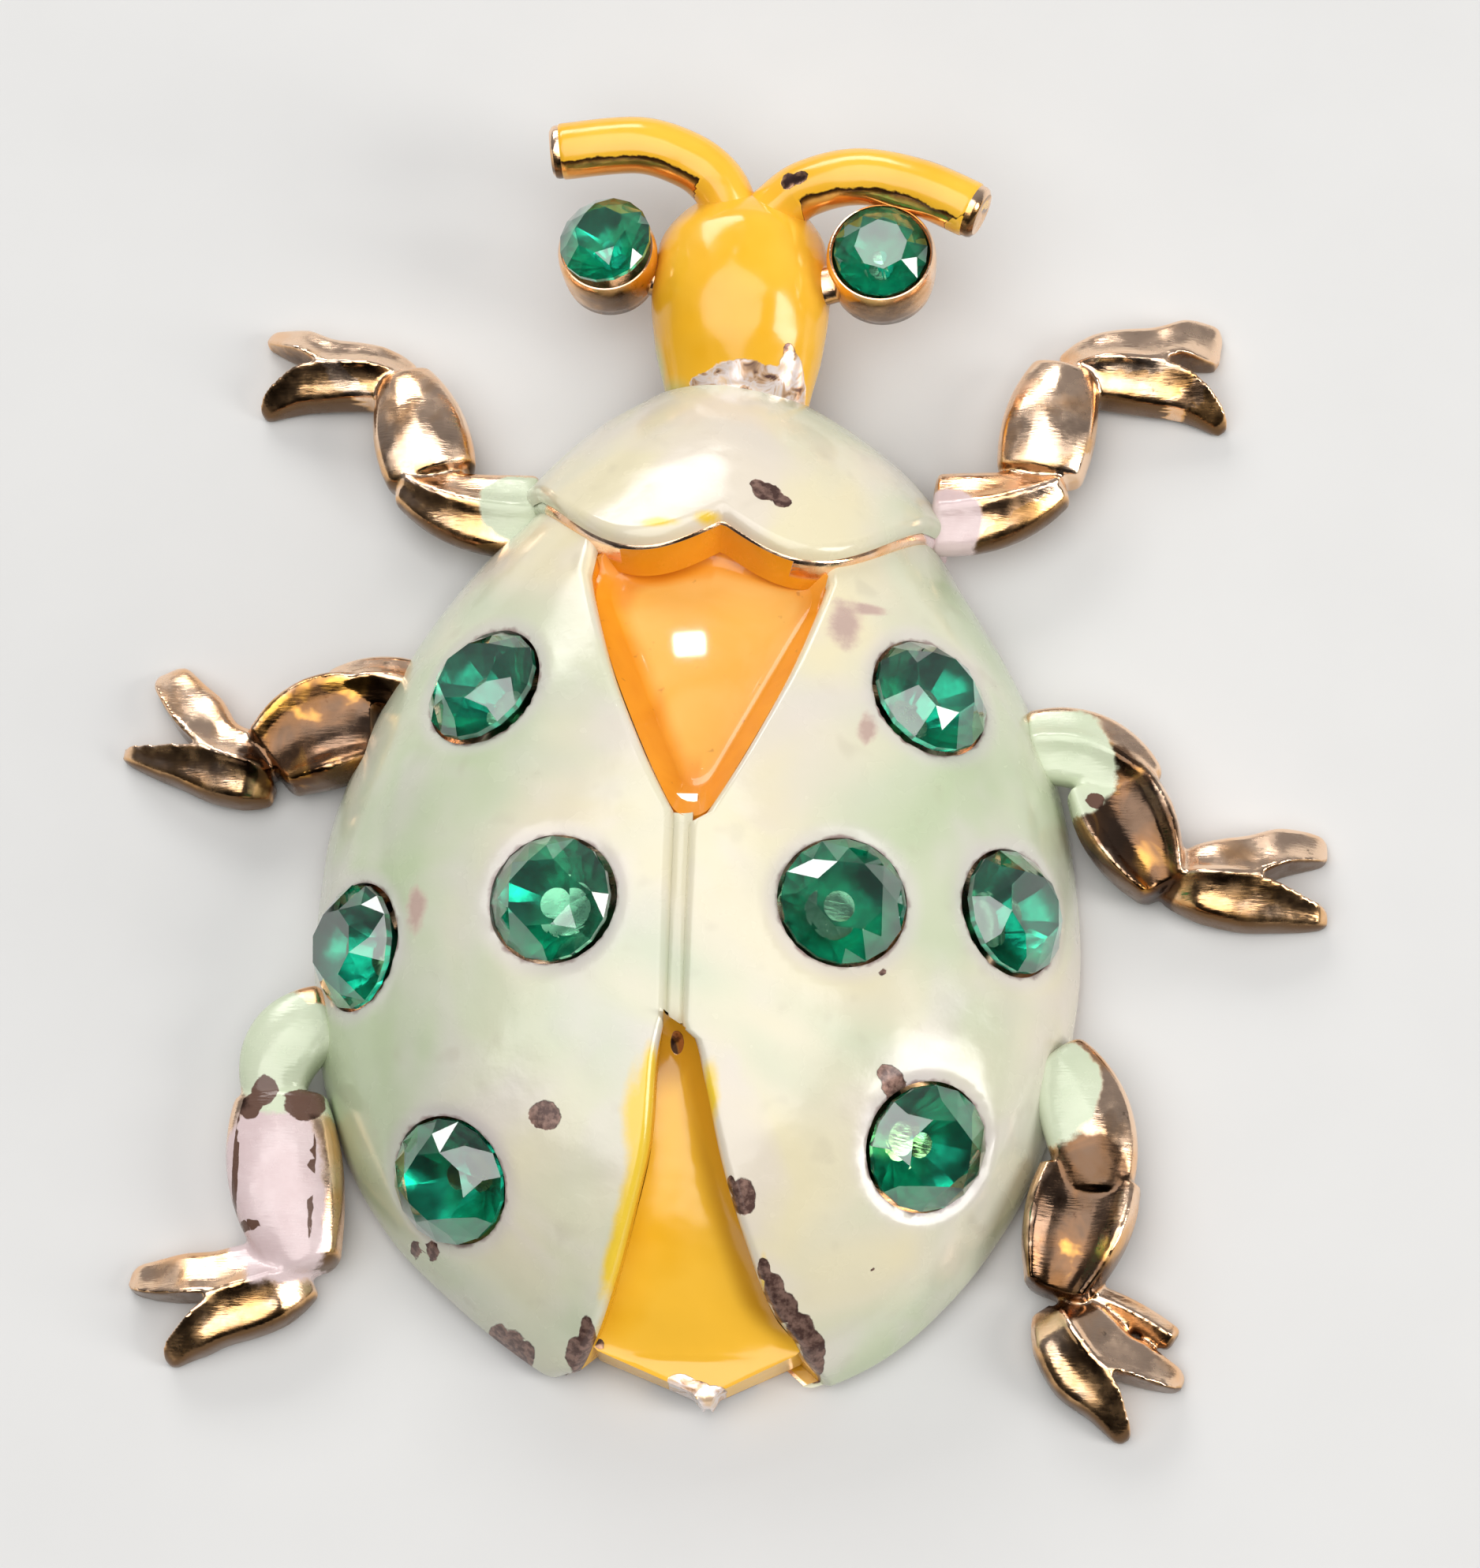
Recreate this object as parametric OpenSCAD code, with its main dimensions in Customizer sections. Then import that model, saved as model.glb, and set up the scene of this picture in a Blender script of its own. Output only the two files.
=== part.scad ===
// Beetle brooch: a hollow-backed casting with thin enamel coats, ten cut stones and a pin on the back.
// Millimetres. X is to the beetle's right in the view from above, Y to its head, Z away from the cloth.
// The origin lies on the resting plane, below the widest place of the wing covers.

/* [Body] */
// Width of the cast body across the wing covers
body_w = 18.5; // [15:0.5:23]
// Length of the cast body from the tips of the wing covers to the neck
body_l = 25.2; // [21:0.5:31]
// Height of the cast body at its crown
crown_h = 5.85; // [5:0.1:8]
// Thickness of the cast wall over the hollow back
wall_t = 1.5; // [1.4:0.1:1.8]
// Depth of the shield and the tail below the wing covers
recess_d = 0.85; // [0.5:0.05:0.95]
// Width of the groove between the wing covers
groove_w = 0.35; // [0.2:0.05:0.6]
// Depth of the groove between the wing covers
groove_d = 0.35; // [0.2:0.05:0.6]

/* [Collar] */
// Step of the collar above the wing covers
collar_step = 0.45; // [0.3:0.05:0.7]
// Depth of the two scallops in the collar's rear edge
scallop_d = 1.1; // [0.6:0.1:1.5]
// Bare metal line along the collar's rear edge
collar_line = 0.2; // [0.1:0.05:0.4]

/* [Shield and tail] */
// Width of the recessed shield
shield_w = 6.3; // [4:0.1:7]
// Length of the recessed shield
shield_l = 7.6; // [5:0.1:8.5]
// Run of the shield's sloping walls
shield_run = 0.8; // [0.4:0.1:1]
// Width of the recessed tail between the tips of the wing covers
tail_w = 4.7; // [3.5:0.1:5.8]
// Length of the recessed tail
tail_l = 7.6; // [5.5:0.1:8]

/* [Head] */
// Width of the cast head
head_w = 3.95; // [3:0.1:5]
// Length of the cast head and neck
head_l = 5.7; // [4.5:0.1:7]
// Height of the cast head's top above the resting plane
head_h = 4.1; // [3.2:0.1:5]
// Thickness of each feeler
feeler_d = 0.85; // [0.7:0.05:1.2]
// Reach of each feeler from the middle of the head
feeler_reach = 5.8; // [4:0.1:7.5]

/* [Legs] */
// Reach of a leg from its hip to its toes
leg_reach = 7.6; // [5.5:0.1:10]
// Width of a leg's widest piece
leg_w = 2.8; // [2:0.1:3.2]
// Height of a leg
leg_h = 1.8; // [1.2:0.1:2.4]

/* [Stones] */
// Diameter of the stones in the wing covers
stone_d = 3.05; // [2.4:0.05:3.2]
// Diameter of the eye stones
eye_d = 2.35; // [2:0.05:2.6]
// Clearance of a stone in its seat
seat_gap = 0.06; // [0.04:0.01:0.1]
// Wall of an eye cup
cup_wall = 0.15; // [0.12:0.01:0.3]
// Height of an eye cup's tube
cup_h = 1.7; // [1.4:0.1:2.6]

/* [Enamel] */
// Thickness of the enamel coats
enamel_t = 0.25; // [0.2:0.05:0.35]
// Clearance between an enamel coat and the metal below it
enamel_gap = 0.04; // [0.02:0.01:0.08]
// Height of the coats' lower edge above the resting plane
enamel_edge = 0.35; // [0.3:0.05:0.8]

/* [Pin back] */
// Room between the ends of the pin back's bar and the walls of the hollow
bar_room = 0.3; // [0.2:0.1:1]
// Width of the bar
bar_w = 2; // [1.6:0.1:2.6]
// Thickness of the bar
bar_t = 0.6; // [0.5:0.1:1]
// Height of the bar's top above the resting plane
bar_top = 2.6; // [2.2:0.1:2.8]
// Diameter of the pin's stem
stem_d = 0.7; // [0.5:0.1:0.9]
// Length of the joint block and of the catch along the bar
block_l = 1.3; // [1:0.1:1.8]
// Clearance between the bar and the two bosses that carry it
bar_gap = 0.04; // [0.02:0.01:0.1]

/* [Hidden] */

LEFT = -1;
RIGHT = 1;
eps = 0.01;
far = 40;
arc_steps = 26;
edge_steps = 30;
round_sides = 24;
feeler_sides = 10;
coat = enamel_gap + enamel_t;
half_w = body_w / 2;

// Rows of the body from the tail to the neck. The columns are:
// along, share of the length from the widest row; left and right, shares of half the width;
// top, share of the crown's height.
ALONG = 0;
SIDE_L = 1;
SIDE_R = 2;
TOP = 3;
BODY_ROWS = [
    [-0.441, 0.22, 0.26, 0.13],
    [-0.427, 0.31, 0.37, 0.26],
    [-0.399, 0.43, 0.51, 0.40],
    [-0.353, 0.59, 0.65, 0.55],
    [-0.297, 0.75, 0.77, 0.70],
    [-0.222, 0.88, 0.88, 0.85],
    [-0.119, 0.97, 0.96, 0.96],
    [-0.012, 1.00, 0.99, 1.00],
    [ 0.087, 0.985, 0.965, 1.00],
    [ 0.187, 0.905, 0.90, 0.97],
    [ 0.278, 0.79, 0.785, 0.90],
    [ 0.357, 0.645, 0.655, 0.815],
    [ 0.411, 0.505, 0.565, 0.735],
    [ 0.455, 0.395, 0.465, 0.635],
    [ 0.490, 0.29, 0.345, 0.525],
    [ 0.516, 0.17, 0.23, 0.42]
];

// Rows of the head from the neck to the brow. The columns are:
// along, share of the length; half, share of half the width; low and top, shares of the head's height.
HEAD_ROWS = [
    [-0.13, 0.68, 0.22, 0.55],
    [0.00, 0.71, 0.20, 0.62],
    [0.12, 0.78, 0.18, 0.74],
    [0.32, 0.93, 0.15, 0.91],
    [0.54, 1.00, 0.14, 1.00],
    [0.76, 0.93, 0.18, 0.96],
    [0.90, 0.70, 0.27, 0.83],
    [0.97, 0.42, 0.38, 0.70],
    [1.00, 0.15, 0.48, 0.60]
];
head_x = half_w * 0.06;
head_y = body_l * 0.525;
neck_share = 0.16;
neck_bare = head_l * neck_share;

// Stations of the feelers from the brow. The columns are x, y and z as shares of the feeler's reach.
FEELER_L = [
    [-0.04, -0.03, 0.50],
    [-0.10, 0.08, 0.57],
    [-0.22, 0.165, 0.63],
    [-0.46, 0.22, 0.68],
    [-0.83, 0.18, 0.68]
];
FEELER_R = [
    [0.10, -0.05, 0.50],
    [0.28, 0.055, 0.60],
    [0.49, 0.085, 0.66],
    [0.75, 0.035, 0.68],
    [1.05, -0.10, 0.68]
];

// Hips of the legs: side, then shares of half the body's width and of its length.
HIP_FRONT_L = [LEFT, 0.47, 0.432];
HIP_FRONT_R = [RIGHT, 0.57, 0.432];
HIP_MIDDLE_L = [LEFT, 0.78, 0.250];
HIP_MIDDLE_R = [RIGHT, 0.88, 0.195];
HIP_REAR_L = [LEFT, 0.95, -0.118];
HIP_REAR_R = [RIGHT, 0.93, -0.145];

// Pieces of the legs, a row each: thigh, shin, foot and the foot's two toes. The columns are:
// where the piece starts and ends, out and ahead of the hip, shares of the reach; how far its middle
// bows to one side, a share of its own length; its width at the start, middle and end, shares of the
// width of a leg.
FRONT_LEFT = [
    [[-0.01, 0.01], [0.47, 0.12], -0.09, [0.76, 0.71, 0.48]],
    [[0.37, 0.13], [0.49, 0.52], 0.00, [0.80, 0.85, 0.44]],
    [[0.47, 0.51], [0.83, 0.54], 0.02, [0.49, 0.60, 0.67]],
    [[0.77, 0.63], [0.98, 0.69], -0.02, [0.33, 0.26, 0.14]],
    [[0.77, 0.49], [0.98, 0.41], 0.07, [0.36, 0.29, 0.14]]
];
FRONT_RIGHT = [
    [[0.03, 0.03], [0.46, 0.14], -0.08, [0.76, 0.70, 0.44]],
    [[0.38, 0.16], [0.46, 0.57], 0.01, [0.76, 0.85, 0.56]],
    [[0.45, 0.56], [0.83, 0.57], 0.04, [0.52, 0.74, 0.82]],
    [[0.79, 0.69], [0.98, 0.68], 0.02, [0.37, 0.44, 0.41]],
    [[0.77, 0.51], [0.99, 0.39], 0.09, [0.40, 0.32, 0.15]]
];
MIDDLE_LEFT = [
    [[-0.03, -0.03], [0.28, -0.02], 0.11, [0.55, 0.52, 0.58]],
    [[0.13, -0.12], [0.48, -0.26], 0.08, [0.85, 1.00, 0.67]],
    [[0.46, -0.30], [0.71, -0.22], -0.01, [0.55, 0.71, 0.71]],
    [[0.65, -0.15], [0.86, 0.09], -0.04, [0.56, 0.45, 0.34]],
    [[0.68, -0.28], [0.99, -0.20], -0.03, [0.40, 0.26, 0.12]]
];
MIDDLE_RIGHT = [
    [[-0.02, 0.01], [0.38, -0.12], 0.12, [0.62, 0.71, 0.52]],
    [[0.23, -0.09], [0.43, -0.46], -0.01, [0.71, 0.85, 0.40]],
    [[0.43, -0.42], [0.78, -0.42], 0.00, [0.45, 0.77, 0.88]],
    [[0.735, -0.315], [0.96, -0.29], 0.03, [0.43, 0.37, 0.25]],
    [[0.72, -0.49], [0.96, -0.52], -0.03, [0.43, 0.30, 0.16]]
];
REAR_LEFT = [
    [[0.01, 0.09], [0.18, -0.18], 0.21, [0.60, 0.72, 0.73]],
    [[0.16, -0.16], [0.04, -0.74], 0.04, [0.77, 1.00, 0.55]],
    [[0.05, -0.72], [0.40, -0.83], -0.04, [0.58, 0.80, 0.74]],
    [[0.35, -0.73], [0.63, -0.75], -0.05, [0.43, 0.38, 0.23]],
    [[0.33, -0.92], [0.49, -1.02], 0.05, [0.38, 0.27, 0.16]]
];
REAR_RIGHT = [
    [[0.02, 0.10], [0.17, -0.36], 0.09, [0.55, 0.81, 0.77]],
    [[0.15, -0.28], [0.04, -0.67], 0.01, [0.88, 0.92, 0.51]],
    [[0.04, -0.69], [0.22, -0.94], -0.04, [0.54, 0.78, 0.80]],
    [[0.24, -0.83], [0.45, -0.92], -0.03, [0.43, 0.33, 0.19]],
    [[0.16, -0.95], [0.27, -1.11], 0.01, [0.43, 0.29, 0.15]]
];
// The spur beside the right rear foot
SPUR = [[0.15, -0.66], [0.42, -0.79], 0.03, [0.25, 0.26, 0.22]];
FROM = 0;
TO = 1;
BOW = 2;
WIDTHS = 3;

// Heights of thigh, shin, foot, toes and spur, shares of the height of a leg. The columns are:
// the underside at the piece's start and end, then its top at the start, middle and end.
LEG_HEIGHTS = [
    [0.47, 0.41, 1.10, 1.20, 1.05],
    [0.33, 0.17, 1.06, 1.18, 0.91],
    [0.12, 0.07, 0.87, 1.00, 0.74],
    [0.05, 0.00, 0.66, 0.58, 0.34],
    [0.04, 0.00, 0.69, 0.60, 0.36],
    [0.16, 0.09, 0.60, 0.58, 0.45]
];

// Places of the stones. The columns are: x, share of half the body's width; y, share of its length;
// tip and turn, the stone's own lean off the surface in degrees and the way it leans.
X = 0;
Y = 1;
LEAN = 2;
TURN = 3;
PLACE_FRONT_L = [-0.55, 0.206, 3, 120];
PLACE_FRONT_R = [0.605, 0.206, 0, 0];
PLACE_INNER_L = [-0.33, -0.018, 6, 180];
PLACE_INNER_R = [0.405, -0.014, 0, 0];
PLACE_OUTER_L = [-0.865, -0.037, 0, 0];
PLACE_OUTER_R = [0.83, 0.004, 0, 0];
PLACE_REAR_L = [-0.585, -0.266, 6, 50];
PLACE_REAR_R = [0.625, -0.228, 0, 0];
PLACES_LEFT = [PLACE_FRONT_L, PLACE_INNER_L, PLACE_OUTER_L, PLACE_REAR_L];
PLACES_RIGHT = [PLACE_FRONT_R, PLACE_INNER_R, PLACE_OUTER_R, PLACE_REAR_R];

// Places of the eyes: x from the middle of the head as a share of the head's width, y as a share of its
// length, then lean and turn. The left one was pressed in crooked and stands proud.
EYE_PLACE_L = [-0.84, 0.70, 12, 150];
EYE_PLACE_R = [0.91, 0.67, 4, 300];
eye_proud = [eye_d * 0.13, eye_d * 0.04];

// Shares of a cut stone's diameter
table_share = 0.56;
crown_share = 0.20;
girdle_share = 0.05;
pavilion_share = 0.38;
culet_share = 0.14;
facets = 8;

// Names for the sizes of the eye cups
cup_d = eye_d + 2 * (seat_gap + cup_wall);
cup_share = 0.98;
cup_top = head_h * cup_share;
cup_low = cup_top - cup_h;

// Shares of an eye cup: the cone below its tube, and the strut that ties it to the head
cone_l = 0.25;
cone_d = 0.55;
strut_d = 0.4;
strut_low = 0.1;
strut_h = 0.3;
strut_reach = [0.8, 0.2];

// Names for the sizes of the pin back, which lies across the hollow
pin_y = body_l * 0.14;
pin_edge = pin_y + bar_w / 2;
hollow_side = half_w * lookup(pin_edge, column(SIDE_L)) - wall_t;
hollow_top = crown_h * lookup(pin_edge, column(TOP)) - wall_t;
bar_end = hollow_side * sqrt(1 - pow(bar_top / hollow_top, 2)) - bar_room;
bar_low = bar_top - bar_t;
stem_z = bar_low / 2;
boss_x = bar_end * 0.6;
boss_d = bar_w * 1.1;

function row_y(row, grow) = row[ALONG] * (body_l + 2 * grow);

// The rows that are still there when the body is shrunk, and their smallest size
row_least = crown_h * 0.05;
function least_side(row) = min([row[SIDE_L] * half_w, row[SIDE_R] * half_w, row[TOP] * crown_h]);
function rows_left(grow) = [for (row = BODY_ROWS) if (least_side(row) + grow > row_least) row];

// Cross-section of the body: half an oval that stands on the plane at height base
function body_section(row, grow, base) =
    let (
        left = row[SIDE_L] * half_w + grow,
        right = row[SIDE_R] * half_w + grow,
        top = row[TOP] * crown_h + grow
    )
    concat(
        [for (i = [0:arc_steps])
            let (t = 180 * i / arc_steps)
            [-cos(t) * (t < 90 ? left : right), top * sin(t)]],
        [[right, base], [-left, base]]
    );

// Height of the bare casting above a place, given in mm
function column(c) = [for (row = BODY_ROWS) [row_y(row, 0), row[c]]];
function surface_z(x, y) =
    let (side = half_w * lookup(y, column(x < 0 ? SIDE_L : SIDE_R)), top = crown_h * lookup(y, column(TOP)))
    top * sqrt(max(1 - pow(x / side, 2), 0));

// Outward direction of the surface there
slope_step = half_w * 0.043;
function surface_normal(x, y) =
    let (
        dx = (surface_z(x + slope_step, y) - surface_z(x - slope_step, y)) / (2 * slope_step),
        dy = (surface_z(x, y + slope_step) - surface_z(x, y - slope_step)) / (2 * slope_step)
    )
    [-dx, -dy, 1] / norm([dx, dy, 1]);

// Rear edge of the collar, which dips on both sides of a peak above the shield
peak_x = half_w * 0.06;
peak_y = body_l * 0.373;
scallop_span = half_w * 0.54;
collar_skew = -0.06;
function scallop_y(x) =
    let (u = abs(x - peak_x) / scallop_span)
    peak_y + collar_skew * (x - peak_x) + scallop_d * (pow(u, 2) - sin(180 * min(u, 1)));

// A convex piece between two rings of as many points
module between(ring_a, ring_b) {
    n = len(ring_a);
    hull()
        polyhedron(
            concat(ring_a, ring_b),
            concat(
                [[for (i = [0:n - 1]) i], [for (i = [n - 1:-1:0]) n + i]],
                [for (i = [0:n - 1]) let (j = (i + 1) % n) [i, n + i, n + j, j]]
            )
        );
}

// The same piece through a list of rings, one after the other
module loft(rings) {
    for (i = [0:len(rings) - 2])
        between(rings[i], rings[i + 1]);
}

// A tube through a list of rings of as many points, whose two ends swell outward to a low point
function unit(v) = v / norm(v);
function middle(points) = [for (p = points) 1 / len(points)] * points;
function end_point(ring, next, swell) =
    let (at = middle(ring))
    at + swell * unit(at - middle(next));
module tube(rings, swell) {
    n = len(rings[0]);
    last = len(rings) - 1;
    all = len(rings) * n;
    polyhedron(
        concat(
            [for (r = rings) each r],
            [end_point(rings[0], rings[1], swell), end_point(rings[last], rings[last - 1], swell)]
        ),
        concat(
            [for (i = [0:n - 1]) [i, (i + 1) % n, all]],
            [for (i = [0:n - 1]) [last * n + (i + 1) % n, last * n + i, all + 1]],
            [for (k = [0:last - 1], i = [0:n - 1])
                let (a = k * n + i, b = k * n + (i + 1) % n)
                each [[a, a + n, b + n], [a, b + n, b]]]
        )
    );
}

// A cross-section in X and Z, stood up at one place along Y
function ring(y, points) = [for (p = points) [p[0], y, p[1]]];

// The domed body, grown or shrunk all round
module body_loft(grow, base = 0) {
    loft([for (row = rows_left(grow)) ring(row_y(row, grow), body_section(row, grow, base))]);
}

// Only the coat between two sizes of the body, above the coats' lower edge
module body_coat(low, high) {
    difference() {
        body_loft(high);
        body_loft(low, -1);
        cube([far, far, 2 * enamel_edge], center = true);
    }
}

// The ground plan in front of the collar's rear edge, moved by shift
module collar_plan(shift) {
    reach = far / 2;
    edge = [for (i = [-edge_steps:edge_steps])
        let (x = peak_x + half_w * i / edge_steps)
        [x, scallop_y(x) + shift]];
    translate([0, 0, -eps])
        linear_extrude(reach)
            polygon(concat([[peak_x + half_w, reach], [peak_x - half_w, reach]], edge));
}

// Where the two wing covers meet, a little to the left of the middle
seam_x = -half_w * 0.033;

// Half-outlines of the tail from its point. The columns are: across, share of the tail's width from
// the seam; along, share of its length.
TAIL_LEFT = [
    [0.035, 0.12], [0.06, 0.35], [0.14, 0.56], [0.265, 0.80], [0.386, 0.947], [0.435, 0.98],
    [0.52, 1.007], [0.573, 1.02], [0.573, 1.30]
];
TAIL_RIGHT = [
    [0.15, 0.06], [0.20, 0.17], [0.30, 0.43], [0.42, 0.65], [0.56, 0.84], [0.644, 0.895],
    [0.703, 0.947], [0.778, 0.987], [0.863, 1.013], [0.863, 1.30]
];
tail_y = -body_l * 0.131;
point_draw = 4;
function tail_side(rows, side, inset) =
    [for (row = rows) [seam_x + side * (row[0] * tail_w - inset), tail_y - row[1] * tail_l]];

// The tail's ground plan, which opens from its point to the tips of the wing covers
module tail_plan(inset) {
    left = tail_side(TAIL_LEFT, LEFT, inset);
    right = tail_side(TAIL_RIGHT, RIGHT, inset);
    last = len(right) - 1;
    linear_extrude(far / 2)
        polygon(concat([[seam_x, tail_y - inset * point_draw]], left, [for (i = [last:-1:0]) right[i]]));
}

// Rows of the small point of the tail between the wing covers. The columns are: across, share of the
// tail's width from the seam to the point's middle; half, share of the tail's width; along, share of
// the body's length; top, share of the crown's height.
POINT_ROWS = [[0.10, 0.60, -0.354, 0.26], [0.15, 0.58, -0.4085, 0.20], [0.20, 0.06, -0.4507, 0.15]];
function point_ring(row, grow) =
    let (
        mid = seam_x + row[0] * tail_w,
        half = row[1] * tail_w,
        y = row[2] * body_l - grow,
        top = row[3] * crown_h + grow
    )
    [[mid - half, y, 0], [mid - half, y, top], [mid + half, y, top], [mid + half, y, 0]];
module tail_point(grow) {
    hull()
        loft([for (row = POINT_ROWS) point_ring(row, grow)]);
}

// The groove's space, from inside the shield's tip to over past the tail's point
groove_lap = shield_l * 0.1;
groove_over = tail_l * 0.07;
module groove_plan(width, over) {
    translate([seam_x - width / 2, tail_y - over, crown_h / 2])
        cube([width, shield_tip_y - tail_y + over + groove_lap, crown_h]);
}

// The shield's space: a pointed hollow with sloping walls, laid along the crown
shield_x = half_w * 0.01;
shield_tip_y = peak_y - shield_l - scallop_d * 0.2;
shield_fall = atan2(
    surface_z(0, shield_tip_y) - surface_z(0, shield_tip_y + shield_l),
    shield_l
);
shield_mid_share = 0.03;
// Corners of the shield from its tip. The columns are: across, share of its width; along, share of its
// length.
SHIELD_CORNERS = [
    [-0.05, 0],
    [0.06, 0],
    [0.53, 0.82],
    [0.53, 0.91],
    [shield_mid_share, 1.05],
    [-0.46, 0.96],
    [-0.47, 0.85]
];
// Middle of the circle that touches the shield's sides, and that circle's size
shield_half_angle = atan(0.5 * shield_w / (SHIELD_CORNERS[2][1] * shield_l));
shield_mid = [shield_mid_share * shield_w, shield_l / (1 + sin(shield_half_angle))];
shield_in_r = shield_mid[1] * sin(shield_half_angle);
shield_over = crown_h * 0.2;
function shield_ring(inset, z) =
    let (size = 1 - inset / shield_in_r)
    [for (corner = SHIELD_CORNERS)
        let (p = shield_mid + size * ([corner[0] * shield_w, corner[1] * shield_l] - shield_mid))
        [p[0], p[1], z]];
module shield_space(inset, lift = 0) {
    translate([shield_x, shield_tip_y, surface_z(0, shield_tip_y)])
        rotate([-shield_fall, 0, 0])
            between(
                shield_ring(inset - shield_run * shield_over / recess_d, shield_over),
                shield_ring(inset + shield_run, lift - recess_d)
            );
}

// Turns what is drawn on the resting plane so that it stands on the casting's surface
module on_surface(place) {
    x = place[X] * half_w;
    y = place[Y] * body_l;
    n = surface_normal(x, y);
    translate([x, y, surface_z(x, y)])
        rotate([0, acos(n[2]), atan2(n[1], n[0])])
            rotate([0, 0, place[TURN] - atan2(n[1], n[0])])
                rotate([0, place[LEAN], 0])
                    children();
}

// A cut stone with its girdle's top at height zero
module cut_stone(d) {
    girdle_r = d / 2;
    hull() {
        translate([0, 0, d * crown_share - eps])
            rotate([0, 0, 180 / facets])
                cylinder(r = girdle_r * table_share, h = eps, $fn = facets);
        translate([0, 0, -d * girdle_share])
            cylinder(r = girdle_r, h = d * girdle_share, $fn = 2 * facets);
        translate([0, 0, -d * (girdle_share + pavilion_share)])
            cylinder(r = girdle_r * culet_share, h = eps, $fn = facets);
    }
}

// The seat that is cut for a stone: a straight mouth and a cone below it
module stone_seat(d) {
    mouth_r = d / 2 + seat_gap;
    foot_r = d / 2 * culet_share + seat_gap;
    mouth_low = d * girdle_share + seat_gap;
    foot_low = d * (girdle_share + pavilion_share) + seat_gap;
    rotate_extrude($fn = round_sides)
        polygon([[0, -foot_low], [foot_r, -foot_low], [mouth_r, -mouth_low], [mouth_r, d], [0, d]]);
}

// A round cut through the enamel for each stone of one side
module enamel_holes(places) {
    for (place = places)
        on_surface(place)
            cylinder(r = stone_d / 2 + seat_gap, h = 4 * coat, center = true, $fn = round_sides);
}

// Lifts a cut stone so that its girdle ends level with the enamel
module seated(place) {
    on_surface(place)
        translate([0, 0, coat])
            children();
}

// Cross-section of the head: a closed oval
function head_section(row, grow) =
    let (
        side = row[1] * head_w / 2 + grow,
        low = row[2] * head_h - grow,
        top = row[3] * head_h + grow,
        mid = (low + top) / 2
    )
    [for (i = [0:arc_steps - 1])
        let (t = 360 * i / arc_steps)
        [head_x + side * cos(t), mid + (top - low) / 2 * sin(t)]];

module head_loft(grow) {
    loft([for (row = HEAD_ROWS) ring(head_y + row[ALONG] * (head_l + grow), head_section(row, grow))]);
}

// A feeler: a bent rod whose rings stand square to its course, each turned half a side from the last
feeler_root = 0.96;
feeler_bare = feeler_d * 0.2;
feeler_swell = feeler_d * 0.05;
function feeler_at(station) = [head_x, head_y + head_l * feeler_root, 0] + feeler_reach * station;
function feeler_ring(stations, i, r, over, turn) =
    let (
        ahead = unit(stations[min(i + 1, len(stations) - 1)] - stations[max(i - 1, 0)]),
        side = unit(cross(ahead, [0, 0, 1])),
        up = cross(side, ahead)
    )
    [for (k = [0:feeler_sides - 1])
        let (t = 360 * (k - turn / 2) / feeler_sides)
        feeler_at(stations[i]) + over * ahead + r * (cos(t) * side - sin(t) * up)];
// Each ring of its end is given as: how far past the last station, and how much it is grown
module feeler(stations, grow = 0, ends = [[0, 0]]) {
    last = len(stations) - 1;
    r = feeler_d / 2;
    tube(
        concat(
            [for (i = [0:last - 1]) feeler_ring(stations, i, r + grow, 0, i)],
            [for (k = [0:len(ends) - 1]) feeler_ring(stations, last, r + ends[k][1], ends[k][0], last + k)]
        ),
        feeler_swell
    );
}

// An eye cup's place: upright tube beside the head
function eye_xy(place) = [head_x + place[X] * head_w, head_y + place[Y] * head_l];
module eye_cup(place, grow = 0) {
    at = eye_xy(place);
    reach = [-sign(place[X]) * strut_reach[0], -strut_reach[1]] * cup_d;
    r = cup_d / 2 + grow;
    foot_r = cup_d * cone_d / 2 + grow;
    foot = cup_low - cup_h * cone_l - grow;
    strut_z = cup_low + cup_h * strut_low;
    strut_l = cup_h * strut_h;
    translate([at[0], at[1], 0])
        rotate_extrude($fn = round_sides)
            polygon([[0, foot], [foot_r, foot], [r, cup_low], [r, cup_top + grow], [0, cup_top + grow]]);
    hull()
        for (end = [[0, 0], reach])
            translate([at[0] + end[0], at[1] + end[1], strut_z - grow])
                cylinder(d = cup_d * strut_d + 2 * grow, h = strut_l + 2 * grow, $fn = round_sides / 2);
}
module in_cup(place, proud) {
    at = eye_xy(place);
    translate([at[0], at[1], cup_top + proud])
        rotate([0, 0, place[TURN]])
            rotate([0, place[LEAN], 0])
                children();
}

// A value that passes through three others at a piece's start, middle and end
function through(v, t) = v[0] * (1 - t) * (1 - 2 * t) + v[1] * 4 * t * (1 - t) + v[2] * t * (2 * t - 1);

// A piece of a leg: a bowed bar, whose section is given as shares of half its width and of its height.
// A shin is dished along its top, between two raised sides, and every other piece has a ridge.
RIDGED = [[-0.8, 0], [-1, 0.35], [-0.85, 0.66], [0, 1], [0.85, 0.66], [1, 0.35], [0.8, 0]];
DISHED = [[-0.8, 0], [-1, 0.4], [-0.82, 0.96], [0, 0.76], [0.82, 0.96], [1, 0.4], [0.8, 0]];
LEG_SECTIONS = [RIDGED, DISHED, RIDGED, RIDGED, RIDGED, RIDGED];
leg_steps = 3;
leg_swell = leg_w * 0.03;
function leg_point(hip, row, t) =
    let (run = row[TO] - row[FROM], p = row[FROM] + run * t + [-run[1], run[0]] * row[BOW] * 4 * t * (1 - t))
    [hip[0] * (hip[1] * half_w + leg_reach * p[0]), hip[2] * body_l + leg_reach * p[1]];
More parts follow.
